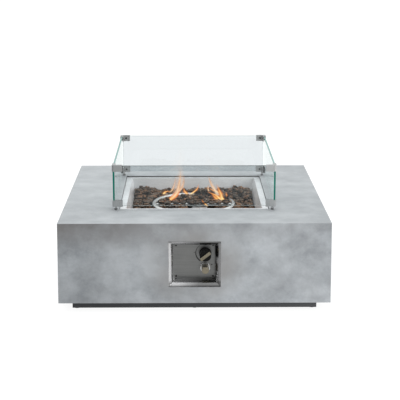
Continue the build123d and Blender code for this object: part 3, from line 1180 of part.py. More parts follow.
def leads():
    level = SHIELD_Z1 - LEAD_DROP
    edge = -SHIELD_W / 2
    start = (KNOB_X, HOUSING_Y1, BUTTON_Z)
    end = (SPARK_X, GROUP_Y, FLOOR_Z - INSULATOR_FOOT)
    left = SPARK_X - LEAD_SIDE
    middle = [(KNOB_X, start[1] + IGNITION_BEND, BUTTON_Z), (left, 1.1 * edge, level - 4 * LEAD_R)]
    middle += [(left - LEAD_R, 0.63 * edge, level - 3 * LEAD_R), (SPARK_X, GROUP_Y, level - 2 * LEAD_R)]
    keep("ignition_lead", along([start, *middle, end], LEAD_R))
    start = (KNOB_X + SENSOR_X, VALVE_BACK - 4, KNOB_Z + SENSOR_UP)
    end = (PROBE_X, GROUP_Y, FLOOR_Z - PROBE_FOOT)
    right = PROBE_X + LEAD_SIDE
    middle = [(start[0], start[1] + SENSOR_BEND, start[2]), (right, 1.2 * edge, level + 8 * SENSOR_LEAD_R)]
    middle += [(right - 2 * SENSOR_LEAD_R, 0.68 * edge, level), (PROBE_X, GROUP_Y, level - SENSOR_LEAD_R)]
    keep("thermocouple_lead", along([start, *middle, end], SENSOR_LEAD_R))


# ---------------------------------------------------------------- build and write
table_shell()
plinth()
base_panel()
shell_brackets()
burner_pan()
heat_shield()
burner_ring()
burner_feet()
burner_feed()
igniter_group()
stones()
guard_glass()
guard_clips()
control_box()
control_brackets()
valve()
knob()
push_igniter()
gas_inlet()
hoses()
hose_clips()
leads()

os.makedirs("parts", exist_ok=True)
for name, solids in NODES.items():
    shape = solids[0] if len(solids) == 1 else Compound(solids)
    shape.label = name
    export_step(shape, f"parts/{name}.step")
print(len(NODES), "nodes,", sum(len(solids) for solids in NODES.values()), "solids")
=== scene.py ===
# %% [markdown]
# # A square gas fire table
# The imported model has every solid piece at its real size: a moulded block on a dark plinth, a steel burner
# pan with a ring burner, a glass guard on metal corner clips, and a control box in the front face. This
# lesson gives each of them its finish, lays real-looking lava rock in the pan and lights the fire. Lengths
# are metres, +Z is up, and the controls face -Y.

# %% Load the model
import math
import random

import bmesh
import bpy
from mathutils import Matrix, Vector, noise


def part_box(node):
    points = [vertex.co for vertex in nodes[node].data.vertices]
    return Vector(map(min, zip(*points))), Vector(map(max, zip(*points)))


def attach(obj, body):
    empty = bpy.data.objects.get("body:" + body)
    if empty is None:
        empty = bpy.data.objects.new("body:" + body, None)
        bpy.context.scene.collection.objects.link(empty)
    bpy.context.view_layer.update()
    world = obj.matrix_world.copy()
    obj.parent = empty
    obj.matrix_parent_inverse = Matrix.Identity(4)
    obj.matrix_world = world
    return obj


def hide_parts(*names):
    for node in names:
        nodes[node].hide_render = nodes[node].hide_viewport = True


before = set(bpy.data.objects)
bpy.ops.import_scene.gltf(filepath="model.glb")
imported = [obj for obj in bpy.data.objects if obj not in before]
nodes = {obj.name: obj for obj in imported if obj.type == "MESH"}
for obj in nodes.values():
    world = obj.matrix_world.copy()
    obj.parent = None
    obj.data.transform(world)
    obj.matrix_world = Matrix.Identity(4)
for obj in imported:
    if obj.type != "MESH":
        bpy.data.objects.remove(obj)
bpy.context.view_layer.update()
cad_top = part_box("table_shell")[1].z

# %% [markdown]
# ## The camera
# A product picture of low furniture is taken from chest height, some metres away and with a long lens, so
# that the block's edges stay nearly parallel. The camera stands a little left of the middle, and looks down
# and slightly to the right.

# %% Camera
degrees_down = 13.948
degrees_tilted = -0.06
degrees_right = 0.752
lens = bpy.data.cameras.new("long_lens")
lens.lens = 100.71
lens.sensor_width = 36.0
camera = bpy.data.objects.new("camera", lens)
camera.location = (-0.0297, -3.9323, 1.2460)
camera.rotation_euler = [math.radians(v) for v in (90 - degrees_down, degrees_tilted, -degrees_right)]
bpy.context.scene.collection.objects.link(camera)
bpy.context.scene.camera = camera
print("camera", tuple(round(v, 3) for v in camera.location), "lens", lens.lens)

# %% [markdown]
# ## Wires and shader maths
# A finish is a small graph of shader nodes. Written out link by link it is hard to read, so `Wire` wraps one
# output socket and overloads the operators: `1 - mask * 0.5` adds the Math nodes that work it out.
# `Graph.node` adds every other node: it takes the values or wires of the node's sockets, by name or number,
# and the node's settings by keyword.

# %% Wire and Graph
class Wire:
    """One output socket that can be used in an expression."""

    def __init__(self, graph, socket):
        self.graph = graph
        self.socket = socket

    def __add__(self, other):
        return self.graph.maths("ADD", self, other)

    def __radd__(self, other):
        return self.graph.maths("ADD", other, self)

    def __sub__(self, other):
        return self.graph.maths("SUBTRACT", self, other)

    def __rsub__(self, other):
        return self.graph.maths("SUBTRACT", other, self)

    def __mul__(self, other):
        return self.graph.maths("MULTIPLY", self, other)

    def __rmul__(self, other):
        return self.graph.maths("MULTIPLY", other, self)

    def __pow__(self, other):
        return self.graph.maths("POWER", self, other)

    def __abs__(self):
        return self.graph.maths("ABSOLUTE", self)

    def __gt__(self, other):
        return self.graph.maths("GREATER_THAN", self, other)

    def __lt__(self, other):
        return self.graph.maths("LESS_THAN", self, other)

    def clamped(self):
        """The same value, held between 0 and 1."""
        return self.graph.node("Math", {0: self, 1: 0.0}, operation="ADD", use_clamp=True)


def opaque(colour):
    """A colour of three numbers, as the four that a colour socket takes."""
    return (*colour, 1.0)


class Graph:
    """A node tree, with short ways to add what the finishes share."""

    def __init__(self, tree):
        self.tree = tree

    def feed(self, socket, value):
        if isinstance(value, Wire):
            self.tree.links.new(value.socket, socket)
        elif socket.type == "RGBA":
            socket.default_value = opaque(value)
        else:
            socket.default_value = value

    def node(self, kind, sockets=None, out=0, **settings):
        node = self.tree.nodes.new("ShaderNode" + kind)
        for name, value in settings.items():
            setattr(node, name, value)
        for name, value in (sockets or {}).items():
            self.feed(node.inputs[name], value)
        return Wire(self, node.outputs[out])

    def maths(self, operation, *values):
        return self.node("Math", dict(enumerate(values)), operation=operation)

    def place(self):
        """Where a point is, in the table's own metres."""
        return self.node("TexCoord", out="Object")

    def facing(self):
        """The way a face looks, as x, y and z."""
        return self.axes(self.node("TexCoord", out="Normal"))

    def stretched(self, place, x, y, z):
        return self.node("Mapping", {"Vector": place, "Scale": (x, y, z)})

    def axes(self, place):
        """The x, y and z of a vector, as three wires."""
        outputs = self.node("SeparateXYZ", {0: place}).socket.node.outputs
        return [Wire(self, outputs[n]) for n in range(3)]

    def clouds(self, place, scale, detail, roughness):
        sockets = {"Vector": place, "Scale": scale, "Detail": detail, "Roughness": roughness}
        return self.node("TexNoise", sockets)

    def cells(self, place, scale, out="Distance"):
        return self.node("TexVoronoi", {"Vector": place, "Scale": scale}, out=out)

    def between(self, value, low, high, to_low=0.0, to_high=1.0):
        """A value's way from low to high, held at both ends."""
        sockets = {"Value": value, "From Min": low, "From Max": high, "To Min": to_low, "To Max": to_high}
        return self.node("MapRange", sockets, clamp=True)

    def distance(self, along, up):
        """How far two offsets at right angles reach together."""
        return (along * along + up * up) ** 0.5

    def tint(self, mask, first, second):
        """The first colour where the mask is 0, the second where it is 1."""
        return self.node("Mix", {0: mask, 6: first, 7: second}, out=2, data_type="RGBA")

    def mixed(self, mask, first, second):
        """The first shader where the mask is 0, the second where it is 1."""
        return self.node("MixShader", {0: mask, 1: first, 2: second})

    def ramp(self, value, stops):
        """A colour for each value; a stop is a value and its colour."""
        colour_wire = self.node("ValToRGB", {0: value})
        band = colour_wire.socket.node.color_ramp
        while len(band.elements) < len(stops):
            band.elements.new(0.5)
        for element, (place, colour) in zip(band.elements, stops):
            element.position = place
            element.color = opaque(colour)
        return colour_wire


class Finish(Graph):
    """A material on one Principled shader."""

    def __init__(self, name, **plain):
        self.material = bpy.data.materials.new(name)
        self.material.use_nodes = True
        super().__init__(self.material.node_tree)
        self.shader = self.tree.nodes["Principled BSDF"]
        self.output = self.tree.nodes["Material Output"]
        for socket, value in plain.items():
            self.set(socket.replace("_", " ").title().replace("Ior", "IOR"), value)

    def set(self, socket, value):
        self.feed(self.shader.inputs[socket], value)

    def cover(self, mask, colour):
        """Lay a colour over the wired base colour where the mask is 1."""
        below = Wire(self, self.shader.inputs["Base Color"].links[0].from_socket)
        self.set("Base Color", self.tint(mask, below, colour))

    def relief(self, height, depth):
        """Small bumps: height runs from 0 to 1, and depth is how deep that is, in metres."""
        self.set("Normal", self.node("Bump", {"Height": height, "Distance": depth}))


# %% Objects and pieces
def dress(finish, *names):
    """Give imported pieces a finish."""
    for name in names:
        for slot in nodes[name].material_slots:
            slot.material = finish.material
    print(finish.material.name, "on", ", ".join(names))


def new_mesh(name, points, faces, finish, smooth=False):
    """A mesh object of one finish, linked into the scene."""
    mesh = bpy.data.meshes.new(name)
    mesh.from_pydata(points, [], faces)
    mesh.polygons.foreach_set("use_smooth", [smooth] * len(faces))
    mesh.materials.append(finish.material)
    piece = bpy.data.objects.new(name, mesh)
    bpy.context.scene.collection.objects.link(piece)
    return piece


def new_lamp(name, kind, at, watts):
    """A lamp at a place, as its light and the object that holds it."""
    light = bpy.data.lights.new(name, kind)
    light.energy = watts
    holder = bpy.data.objects.new(name, light)
    holder.location = at
    bpy.context.scene.collection.objects.link(holder)
    return light, holder


# %% [markdown]
# ## Floor and light
# The table stands on a pale floor that runs out to the horizon. The floor glows like a light table, so that
# the table's own shadow stays faint, but it sends the table less of that glow the further left it is. Soft
# studio light comes mostly from above: the world is brightest overhead, behind the table and at both sides,
# and falls off towards the horizon in front, so the top of the block is lighter than its front. One soft
# panel, on the right in front, gives the polished metal an edge to mirror.

# %% Floor
floor_reach = 60.0
quarters = ((-1, -1), (1, -1), (1, 1), (-1, 1))
black = (0.0, 0.0, 0.0)
white = (1.0, 1.0, 1.0)
paper = Finish("floor_paper", roughness=1.0, specular_ior_level=0.0, base_color=(0.16, 0.16, 0.16))
seen = paper.node("LightPath", out="Is Camera Ray")
sent = paper.between(paper.axes(paper.place())[0], -0.9, 0.8, 0.16, 1.0)
paper.set("Emission Color", paper.tint(seen, paper.tint(sent, black, white), white))
paper.set("Emission Strength", 0.90)
floor_corners = [(x * floor_reach, y * floor_reach, 0) for x, y in quarters]
floor = new_mesh("studio_floor", floor_corners, [(0, 1, 2, 3)], paper)
print("floor", 2 * floor_reach, "m square")

# %% World and panel
world = bpy.data.worlds.new("studio")
bpy.context.scene.world = world
world.use_nodes = True
background = world.node_tree.nodes["Background"]
sky = Graph(world.node_tree)
sky_x, sky_y, sky_z = sky.axes(sky.node("TexCoord", out="Generated"))
overhead = sky.between(sky_z, 0.0, 1.0, 0.14, 1.62)
behind = sky.between(sky_y, -1.0, 1.0, 0.52, 1.72)
beside = sky.between(abs(sky_x), 0.0, 1.0, 0.80, 1.45)
sky.feed(background.inputs["Strength"], overhead * behind * beside)
sky.feed(background.inputs["Color"], (0.985, 0.995, 1.0))

panel_at = Vector((2.0, -2.5, 1.1))
panel_aim = Vector((0, -0.4, 0.2))
panel, panel_holder = new_lamp("right_panel", "AREA", panel_at, 34)
panel.size = 1.3
panel_holder.rotation_euler = (panel_aim - panel_at).to_track_quat("-Z", "Y").to_euler()
bpy.context.scene.view_settings.view_transform = "Standard"
print("light: the world and a panel of", panel.energy, "W")

# %% [markdown]
# ## The block: cast concrete look
# The block is moulded in a fibre-reinforced mix and rubbed with a thin grey wash. Up close it has a fine
# grain and a few pinholes; from afar it shows soft clouds a hand or two across. Noise at several scales does
# this: the wide clouds and the wash only change the colour, while the grain and the pinholes also dent the
# surface. The top is painted darker towards its front and right, a painted shade where less light falls.

# %% Concrete
concrete = Finish("cast_concrete", specular_ior_level=0.45)
spot = concrete.place()
spot_x, spot_y, spot_z = concrete.axes(spot)
on_wall = abs(concrete.facing()[2]) < 0.5
shifted = concrete.node("Mapping", {"Vector": spot, "Location": (0.31, 0.0, 0.12)})
wide = concrete.clouds(shifted, 2.9, 3, 0.5)
blobs = concrete.clouds(concrete.stretched(shifted, 11, 11, 13), 1.0, 4, 0.62)
streaks = concrete.clouds(concrete.stretched(spot, 5, 22, 7), 1.0, 3, 0.55)
fine = concrete.clouds(spot, 150, 4, 0.65)
grain = concrete.clouds(spot, 800, 3, 0.6)
tone = wide * 0.30 + blobs * 0.44 + streaks * 0.12 + fine * 0.09 + grain * 0.05
light_part = concrete.between(tone, 0.41, 0.59)
light_part = light_part * (0.62 + 0.38 * on_wall) + 0.26 * (1 - on_wall)
# Painted shade: the top turns darker towards its front and its right, where less light falls on it.
shade_to_front = concrete.between(spot_y, 0.10, -0.44)
shade_to_right = concrete.between(spot_x, -0.20, 0.44)
top_mottle_and_shade = light_part - 0.20 * shade_to_front - 0.26 * shade_to_right
top_tone = concrete.tint(top_mottle_and_shade, (0.296, 0.313, 0.325), (0.452, 0.473, 0.485))
wall_tone = concrete.tint(light_part, (0.286, 0.305, 0.324), (0.490, 0.518, 0.542))
body = concrete.tint(on_wall, top_tone, wall_tone)
print("concrete has a tone for its top and one for its walls")

# %% [markdown]
# The walls carry painted shade under their upper edge, mostly on the left, where less light reaches them,
# and turn warmer and darker there and round the control box.

# %% Painted shade and a warmer tone on the walls
bezel_low, bezel_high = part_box("control_bezel")
bezel_z = (bezel_low.z + bezel_high.z) / 2
# Painted shade: darker under the walls' upper edge, mostly on the left; random patches of wash_noise darken
# them too.
under_edge = concrete.between(spot_z, cad_top - 0.102, cad_top)
to_left = concrete.between(spot_x, 0.05, -0.45)
wash_noise = concrete.between(concrete.clouds(shifted, 8.3, 4, 0.6), 0.36, 0.62)
painted_edge_shade = under_edge * (0.28 + 0.72 * to_left) * (0.35 + 0.65 * wash_noise)
wash_and_painted_shade = (painted_edge_shade + wash_noise * 0.22) * on_wall
body = concrete.tint(wash_and_painted_shade.clamped(), body, (0.190, 0.188, 0.190))
# Warmer and darker round the control box and along the left walls' upper edge.
from_box = concrete.distance(spot_x * 0.8, spot_z - bezel_z)
near_box = concrete.between(from_box, 0.150, 0.085)
warm_noise = concrete.between(concrete.clouds(spot, 12, 3, 0.5), 0.35, 0.65)
warm = (near_box * 0.9 + under_edge * to_left * 0.7) * (0.4 + 0.6 * warm_noise) * on_wall
body = concrete.tint(warm.clamped() * 0.75, body, (0.270, 0.260, 0.250))
print("control box's middle is", round(bezel_z, 4), "m up")

# %% Pinholes, grain and the painted shadow in the pan's rebate
rare = concrete.between(concrete.clouds(spot, 21, 2, 0.5), 0.57, 0.60)
pinhole = concrete.between(concrete.cells(spot, 75), 0.052, 0.030) * rare
body = concrete.tint(pinhole * 0.75, body, (0.11, 0.11, 0.11))
beyond_pan = 0.004
half_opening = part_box("burner_tray")[1].x + beyond_pan
below_top = spot_z < cad_top - 0.0004
# Painted shadow: the rebate's walls round the pan are painted nearly black, where the gap beside the pan lies
# in shadow.
painted_gap_shadow = (abs(spot_x) < half_opening) * (abs(spot_y) < half_opening) * below_top * on_wall
body = concrete.tint(painted_gap_shadow, body, (0.035, 0.035, 0.036))
concrete.set("Base Color", body)
concrete.set("Roughness", concrete.between(fine, 0.3, 0.7, 0.62, 0.80))
concrete.relief(fine * 0.30 + grain * 0.22 - pinhole, 0.0007)
dress(concrete, "table_shell")

# %% [markdown]
# ## The plinth and the hidden sheet metal
# The plinth is folded steel sheet with a dark powder coat, which always has a little orange-peel texture.
# The base panel and the small brackets behind it are zinc plated: their crystals show as patches of slightly
# different grey. The feet and the tips under the guard are rubber.

# %% Powder coat and zinc
coat = Finish("dark_powder_coat", specular_ior_level=0.45)
spot = coat.place()
peel = coat.clouds(spot, 900, 2, 0.5)
dust = coat.between(coat.clouds(coat.stretched(spot, 6, 6, 30), 1.0, 4, 0.6), 0.35, 0.75)
coat.set("Base Color", coat.tint(dust, (0.058, 0.060, 0.064), (0.082, 0.085, 0.090)))
coat.set("Roughness", coat.between(peel, 0.3, 0.7, 0.42, 0.55))
coat.relief(peel, 0.00012)
dress(coat, "plinth_frame")

zinc = Finish("zinc_plate", metallic=1.0)
spot = zinc.place()
shade = zinc.node("SeparateColor", {0: zinc.cells(spot, 120, out="Color")})
zinc.set("Base Color", zinc.tint(shade, (0.52, 0.53, 0.54), (0.66, 0.67, 0.68)))
zinc.set("Roughness", zinc.between(shade, 0.0, 1.0, 0.30, 0.46))
zinc.relief(zinc.clouds(spot, 1500, 2, 0.5), 0.00005)
dress(zinc, "base_panel", "shell_brackets", "shell_bolts", "base_screws", "control_brackets",
      "bracket_screws", "inlet_bracket", "hose_clips", "shield_studs", "shield_nuts", "burner_feet",
      "heat_shield")


# %% Rubber
def mottled(name, grain, dark, light, depth=0.0, **plain):
    """A colour that wanders between two tones; grain is the noise's scale, detail and roughness."""
    finish = Finish(name, **plain)
    mottle = finish.clouds(finish.place(), *grain)
    finish.set("Base Color", finish.tint(mottle, dark, light))
    if depth:
        finish.relief(mottle, depth)
    return finish


rubber = mottled("black_rubber", (220, 4, 0.6), (0.018, 0.018, 0.019), (0.045, 0.045, 0.046), 0.0001,
                 specular_ior_level=0.3, roughness=0.85)
dress(rubber, "foot_pads")
tip_rubber = mottled("grey_rubber", (260, 4, 0.6), (0.12, 0.125, 0.13), (0.18, 0.185, 0.19), 0.0001,
                     specular_ior_level=0.3, roughness=0.7)
dress(tip_rubber, "guard_tips")

# %% [markdown]
# ## Stainless steel
# The pan and the ring are satin stainless: the sheet is ground in one direction, which leaves hair-fine
# lines. Noise that is squeezed across the lines and stretched along them makes both the streaks and their
# bumps. Heat turns the probe faintly straw-coloured.

# %% Satin stainless
def ground_steel(name, stretch, dark, light, low, high, depth=0.00004):
    """Metal with fine lines: stretch is the noise's scale along x, y and z, low to high its roughness."""
    steel = Finish(name, metallic=1.0)
    spot = steel.place()
    lines = steel.clouds(steel.stretched(spot, *stretch), 1.0, 4, 0.6)
    smears = steel.clouds(spot, 9, 3, 0.5)
    steel.set("Base Color", steel.tint(steel.between(lines * 0.6 + smears * 0.4, 0.35, 0.65), dark, light))
    steel.set("Roughness", steel.between(lines * 0.5 + smears * 0.5, 0.3, 0.7, low, high))
    steel.relief(lines, depth)
    return steel


pan_steel = ground_steel("satin_pan_steel", (60, 60, 900), (0.66, 0.67, 0.68), (0.82, 0.83, 0.84), 0.34, 0.48)
pan_steel.set("Metallic", 0.70)
dress(pan_steel, "burner_tray")
tube_steel = ground_steel("satin_tube_steel", (300, 300, 300), (0.42, 0.42, 0.41), (0.60, 0.60, 0.59),
                          0.24, 0.38)
dress(tube_steel, "burner_ring", "burner_boss", "burner_nipple", "nipple_nuts", "igniter_shield",
      "valve_stem", "spring_washer", "valve_spring", "igniter_spring", "electrode_wire")
probe_steel = ground_steel("heat_tinted_steel", (200, 200, 500), (0.52, 0.42, 0.30), (0.70, 0.62, 0.50),
                           0.28, 0.40)
dress(probe_steel, "thermocouple_probe")

# %% [markdown]
# ## Glass guard
# Four panes of clear tempered glass stand in metal clips. Seen through its face, a pane is almost colourless
# and mirrors a little of the room; seen through its edge, the light has crossed the whole sheet, so the edge
# is deep green. A flat pane hardly shifts what is seen through it, so a clear shader stands for the glass
# body, and a mirror is mixed in by Fresnel. Shadow rays and the light of dull surfaces pass almost freely.
# The edge faces are told apart by their normal. The front and back panes end between the side panes, and
# their ends stay pale; their level edges are dark on the front pane and pale on the back one.

# %% Glass
def pane_finish(name, end_axis, end_colour, level_colour, body_colour, most_mirror):
    """Clear glass whose end faces, across this axis, and upper and lower faces show their depth."""
    glass = Finish(name, metallic=1.0)
    facing = glass.facing()
    smear = glass.clouds(glass.stretched(glass.place(), 9, 9, 3), 1.0, 3, 0.55)
    glass.set("Base Color", glass.tint(smear, (0.86, 0.90, 0.90), (0.96, 1.0, 1.0)))
    glass.set("Roughness", glass.between(smear, 0.35, 0.65, 0.01, 0.05))
    mirror_part = glass.between(glass.node("Fresnel", {"IOR": 1.5}), 0.0, 1.0, 0.0, most_mirror)
    clear = glass.node("BsdfTransparent", {"Color": body_colour})
    face = glass.mixed(mirror_part, clear, Wire(glass, glass.shader.outputs[0]))
    shadow_ray = glass.node("LightPath", out="Is Shadow Ray")
    soft_ray = glass.node("LightPath", out="Is Diffuse Ray")
    open_air = glass.node("BsdfTransparent", {"Color": (0.98, 0.99, 0.99)})
    face = glass.mixed(glass.maths("MAXIMUM", shadow_ray, soft_ray), face, open_air)
    shimmer = glass.clouds(glass.stretched(glass.place(), 40, 40, 14), 1.0, 3, 0.6)
    end_dark, end_light = [tuple(part * v for v in end_colour) for part in (0.72, 1.25)]
    level_face = abs(facing[2]) > 0.5
    edge_tint = glass.tint(level_face, glass.tint(shimmer, end_dark, end_light), level_colour)
    edge = glass.node("BsdfPrincipled",
                      {"Base Color": edge_tint, "Roughness": 0.12, "Specular IOR Level": 0.15})
    inner_side = glass.node("NewGeometry", out="Backfacing")
    on_edge = glass.maths("MAXIMUM", abs(facing[end_axis]) > 0.5, level_face) * (1 - inner_side)
    glass.feed(glass.output.inputs["Surface"], glass.mixed(on_edge, face, edge))
    return glass


X_AXIS = 0
Y_AXIS = 1
side_glass = pane_finish("guard_glass_sides", Y_AXIS, (0.012, 0.175, 0.130), (0.23, 0.39, 0.36),
                         (0.965, 0.985, 0.982), 0.16)
dress(side_glass, "glass_left", "glass_right")
front_glass = pane_finish("guard_glass_front", X_AXIS, (0.78, 0.88, 0.86), (0.085, 0.110, 0.105),
                          (0.970, 0.980, 0.982), 0.80)
dress(front_glass, "glass_front")
back_glass = pane_finish("guard_glass_back", X_AXIS, (0.78, 0.88, 0.86), (0.40, 0.47, 0.46),
                         (0.872, 0.892, 0.900), 0.80)
dress(back_glass, "glass_back")

# %% [markdown]
# ## Clips, pegs and small screws
# The clips are cast, then brushed and nickel plated, which leaves them darker than the stainless pan. Their
# grub screws are blackened steel, as are the screws in the control plate.

# %% Nickel and black steel
nickel = ground_steel("satin_nickel", (500, 500, 60), (0.40, 0.41, 0.41), (0.50, 0.51, 0.51), 0.28, 0.42)
nickel.set("Metallic", 0.75)
dress(nickel, "upper_clips", "lower_clips", "guard_pegs")
black_steel = ground_steel("blackened_steel", (400, 400, 400), (0.030, 0.030, 0.032), (0.065, 0.064, 0.062),
                           0.32, 0.5)
dress(black_steel, "clip_screws", "plate_screws", "knob_set_screw")

# %% [markdown]
# ## Control box
# The bezel is polished sheet that mirrors the room. Its right half, its lower and upper lips and its left rim
# are painted darker: painted shade and a painted dark reflection of the room.

# %% Finish of the bezel
bezel_steel = ground_steel("polished_sheet", (120, 40, 120), (0.72, 0.72, 0.73), (0.88, 0.88, 0.89),
                           0.16, 0.28, 0.000005)
spot_x, _, spot_z = bezel_steel.axes(bezel_steel.place())
right_half = bezel_steel.between(spot_x, -0.05, 0.05)
low_lip = bezel_steel.between(spot_z, bezel_low.z + 0.022, bezel_low.z + 0.012)
high_lip = bezel_steel.between(spot_z, bezel_high.z - 0.008, bezel_high.z - 0.002)
left_rim = bezel_steel.between(spot_x, bezel_low.x + 0.012, bezel_low.x + 0.006)
# Painted shade and painted dark reflection on the right half, the lips and the left rim.
painted_dark_reflection = right_half * 0.72 + low_lip * 0.55 + high_lip * 0.66 + left_rim * 0.28
bezel_steel.cover(painted_dark_reflection.clamped(), (0.19, 0.19, 0.19))
print("bezel from", round(bezel_low.z, 4), "to", round(bezel_high.z, 4), "m up")

# %% [markdown]
# The sheet flares like a trumpet from the plate at its back to its wide mouth, and ends in a flat lip behind
# the plate. So the whole bezel is one outline of insets and depths, carried round the mouth on rings with
# four small corner arcs. Two flat ears at the back are where the control brackets hold it.

# %% The bezel's outline
SHEET = 0.0012
CORNER_R = 0.0016
CORNER_POINTS = 4
FLARE_STEPS = 12
FLARE_POWER = 3.4
REAR_LIP = 0.011
mouth_w = bezel_high.x
mouth_h = (bezel_high.z - bezel_low.z) / 2
lean = mouth_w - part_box("control_plate")[1].x
depth = bezel_high.y - bezel_low.y - SHEET
flare = []
for n in range(FLARE_STEPS + 1):
    way = n / FLARE_STEPS
    inset = SHEET + (lean - SHEET) * (1 - (1 - way) ** FLARE_POWER)
    flare.append((inset, bezel_low.y + depth * way))
lip_in = lean + REAR_LIP
outline = flare + [(lip_in, bezel_high.y - SHEET), (lip_in, bezel_high.y), (lean - SHEET, bezel_high.y)]
outline += [(inset - SHEET, y) for inset, y in reversed(flare)]
print("bezel's outline has", len(outline), "points")


# %% Rings, faces and ears
def rounded_ring(inset, y):
    """Points round the mouth, this far in from its edge."""
    half_w = mouth_w - inset - CORNER_R
    half_h = mouth_h - inset - CORNER_R
    points = []
    for corner, (side_x, side_z) in enumerate(((1, 1), (-1, 1), (-1, -1), (1, -1))):
        for n in range(CORNER_POINTS):
            turn = math.radians(90 * corner + 90 / (CORNER_POINTS - 1) * n)
            points.append((side_x * half_w + CORNER_R * math.cos(turn), y,
                           bezel_z + side_z * half_h + CORNER_R * math.sin(turn)))
    return points


BOX_FACES = ((0, 1, 3, 2), (4, 6, 7, 5), (0, 4, 5, 1), (2, 3, 7, 6), (0, 2, 6, 4), (1, 5, 7, 3))
EAR_OVERLAP = 0.004
EAR_W = 0.015
bezel_points = []
for inset, y in outline:
    bezel_points.extend(rounded_ring(inset, y))
around = 4 * CORNER_POINTS
bezel_faces = []
for row in range(len(outline)):
    start = row * around
    after = (row + 1) % len(outline) * around
    for n in range(around):
        m = (n + 1) % around
        bezel_faces.append((start + n, after + n, after + m, start + m))
for side in (-1, 1):
    start = len(bezel_points)
    for y in (bezel_high.y - SHEET, bezel_high.y):
        for x in (mouth_w - lean - EAR_OVERLAP, mouth_w - lean + EAR_W):
            for z in (-(mouth_h - lean), mouth_h - lean):
                bezel_points.append((side * x, y, bezel_z + z))
    bezel_faces.extend(tuple(start + n for n in face) for face in BOX_FACES)
bezel = new_mesh("flared_bezel", bezel_points, bezel_faces, bezel_steel, smooth=True)
outward = bmesh.new()
outward.from_mesh(bezel.data)
bmesh.ops.recalc_face_normals(outward, faces=outward.faces)
outward.to_mesh(bezel.data)
outward.free()
bezel.data.set_sharp_from_angle(angle=math.radians(35))
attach(bezel, "table")
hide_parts("control_bezel")
print("bezel has", len(bezel_faces), "faces")

# %% [markdown]
# The plate behind the bezel is satin. A wedge-shaped line round the knob shows which way the flame grows. It
# is worked out from the distance and the angle to the knob's axis: `turned` is 0 at twelve o'clock and grows
# to the left. A tick stands outside the line near nine o'clock, and a dot marks the igniter.

# %% Plate and dial
DIAL_R = 0.0312
DIAL_END = math.radians(150)
TICK_R = 0.0360
TICK_TURN = 1.52
DOT_RIGHT = 0.0215
DOT_DOWN = 0.0405
DOT_R = 0.0022
knob_low, knob_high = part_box("knob_body")
knob_x = (knob_low.x + knob_high.x) / 2
knob_z = (knob_low.z + knob_high.z) / 2
plate = ground_steel("satin_control_plate", (12, 1, 900), (0.200, 0.203, 0.200), (0.280, 0.283, 0.277),
                     0.34, 0.46)
spot_x, _, spot_z = plate.axes(plate.place())
dx, dz = spot_x - knob_x, spot_z - knob_z
radius = plate.distance(dx, dz)
turned = plate.maths("ARCTAN2", dx * -1.0, dz)
half_width = plate.between(turned, 0.4, DIAL_END, 0.00030, 0.0025)
wedge = (abs(radius - DIAL_R) < half_width) * (turned > 0.0) * (turned < DIAL_END)
tick = (abs(radius - TICK_R) < 0.0018) * (abs(turned - TICK_TURN) < 0.030)
dot = plate.distance(dx - DOT_RIGHT, dz + DOT_DOWN) < DOT_R
ink = (wedge + tick + dot).clamped()
plate.cover(ink, (0.02, 0.02, 0.02))
plate.set("Metallic", 1 - ink)
dress(plate, "control_plate")
print("dial round", round(knob_x, 4), round(knob_z, 4))

# %% [markdown]
# ## Knob and igniter
# The knob is moulded in black plastic, and the bar across it and the igniter's cap are made of the same
# pale champagne-coloured metal. A chrome ring surrounds the cap.

# %% Knob, bar, cap and ring
plastic = Finish("black_plastic", specular_ior_level=0.1)
spot = plastic.place()
speck = plastic.clouds(spot, 1400, 2, 0.5)
plastic.set("Base Color", plastic.tint(speck, (0.004, 0.004, 0.004), (0.009, 0.009, 0.009)))
plastic.set("Roughness", plastic.between(plastic.clouds(spot, 60, 3, 0.5), 0.3, 0.7, 0.24, 0.36))
plastic.relief(speck, 0.00003)
dress(plastic, "knob_body", "igniter_housing")
champagne = ground_steel("champagne_metal", (700, 700, 90), (0.210, 0.187, 0.136), (0.340, 0.306, 0.232),
                         0.24, 0.38)
dress(champagne, "knob_grip", "igniter_cap")
chrome = ground_steel("bright_chrome", (90, 90, 90), (0.42, 0.42, 0.41), (0.56, 0.56, 0.55),
                      0.05, 0.11, 0.000005)
dress(chrome, "igniter_bezel", "igniter_nut")

# %% [markdown]
# ## Gas fittings, hoses and leads
# These sit inside the block and show only from below. Brass is machined bright and dulls unevenly; the mixer
# is a grey casting; the hoses are braided steel, drawn here as two sets of crossing fine waves; the leads
# are red silicone and drawn copper.

# %% Brass, casting, ceramic
brass = ground_steel("machined_brass", (600, 600, 600), (0.55, 0.40, 0.17), (0.74, 0.58, 0.28), 0.22, 0.38)
dress(brass, "gas_jet", "valve_body", "inlet_fitting", "inlet_locknut", "hose_nuts")
casting = ground_steel("grey_casting", (350, 350, 350), (0.40, 0.40, 0.41), (0.56, 0.56, 0.57),
                       0.45, 0.62, 0.0002)
dress(casting, "air_mixer")
ceramic = mottled("white_ceramic", (180, 3, 0.5), (0.78, 0.77, 0.73), (0.88, 0.87, 0.84), roughness=0.18)
dress(ceramic, "electrode_insulator")

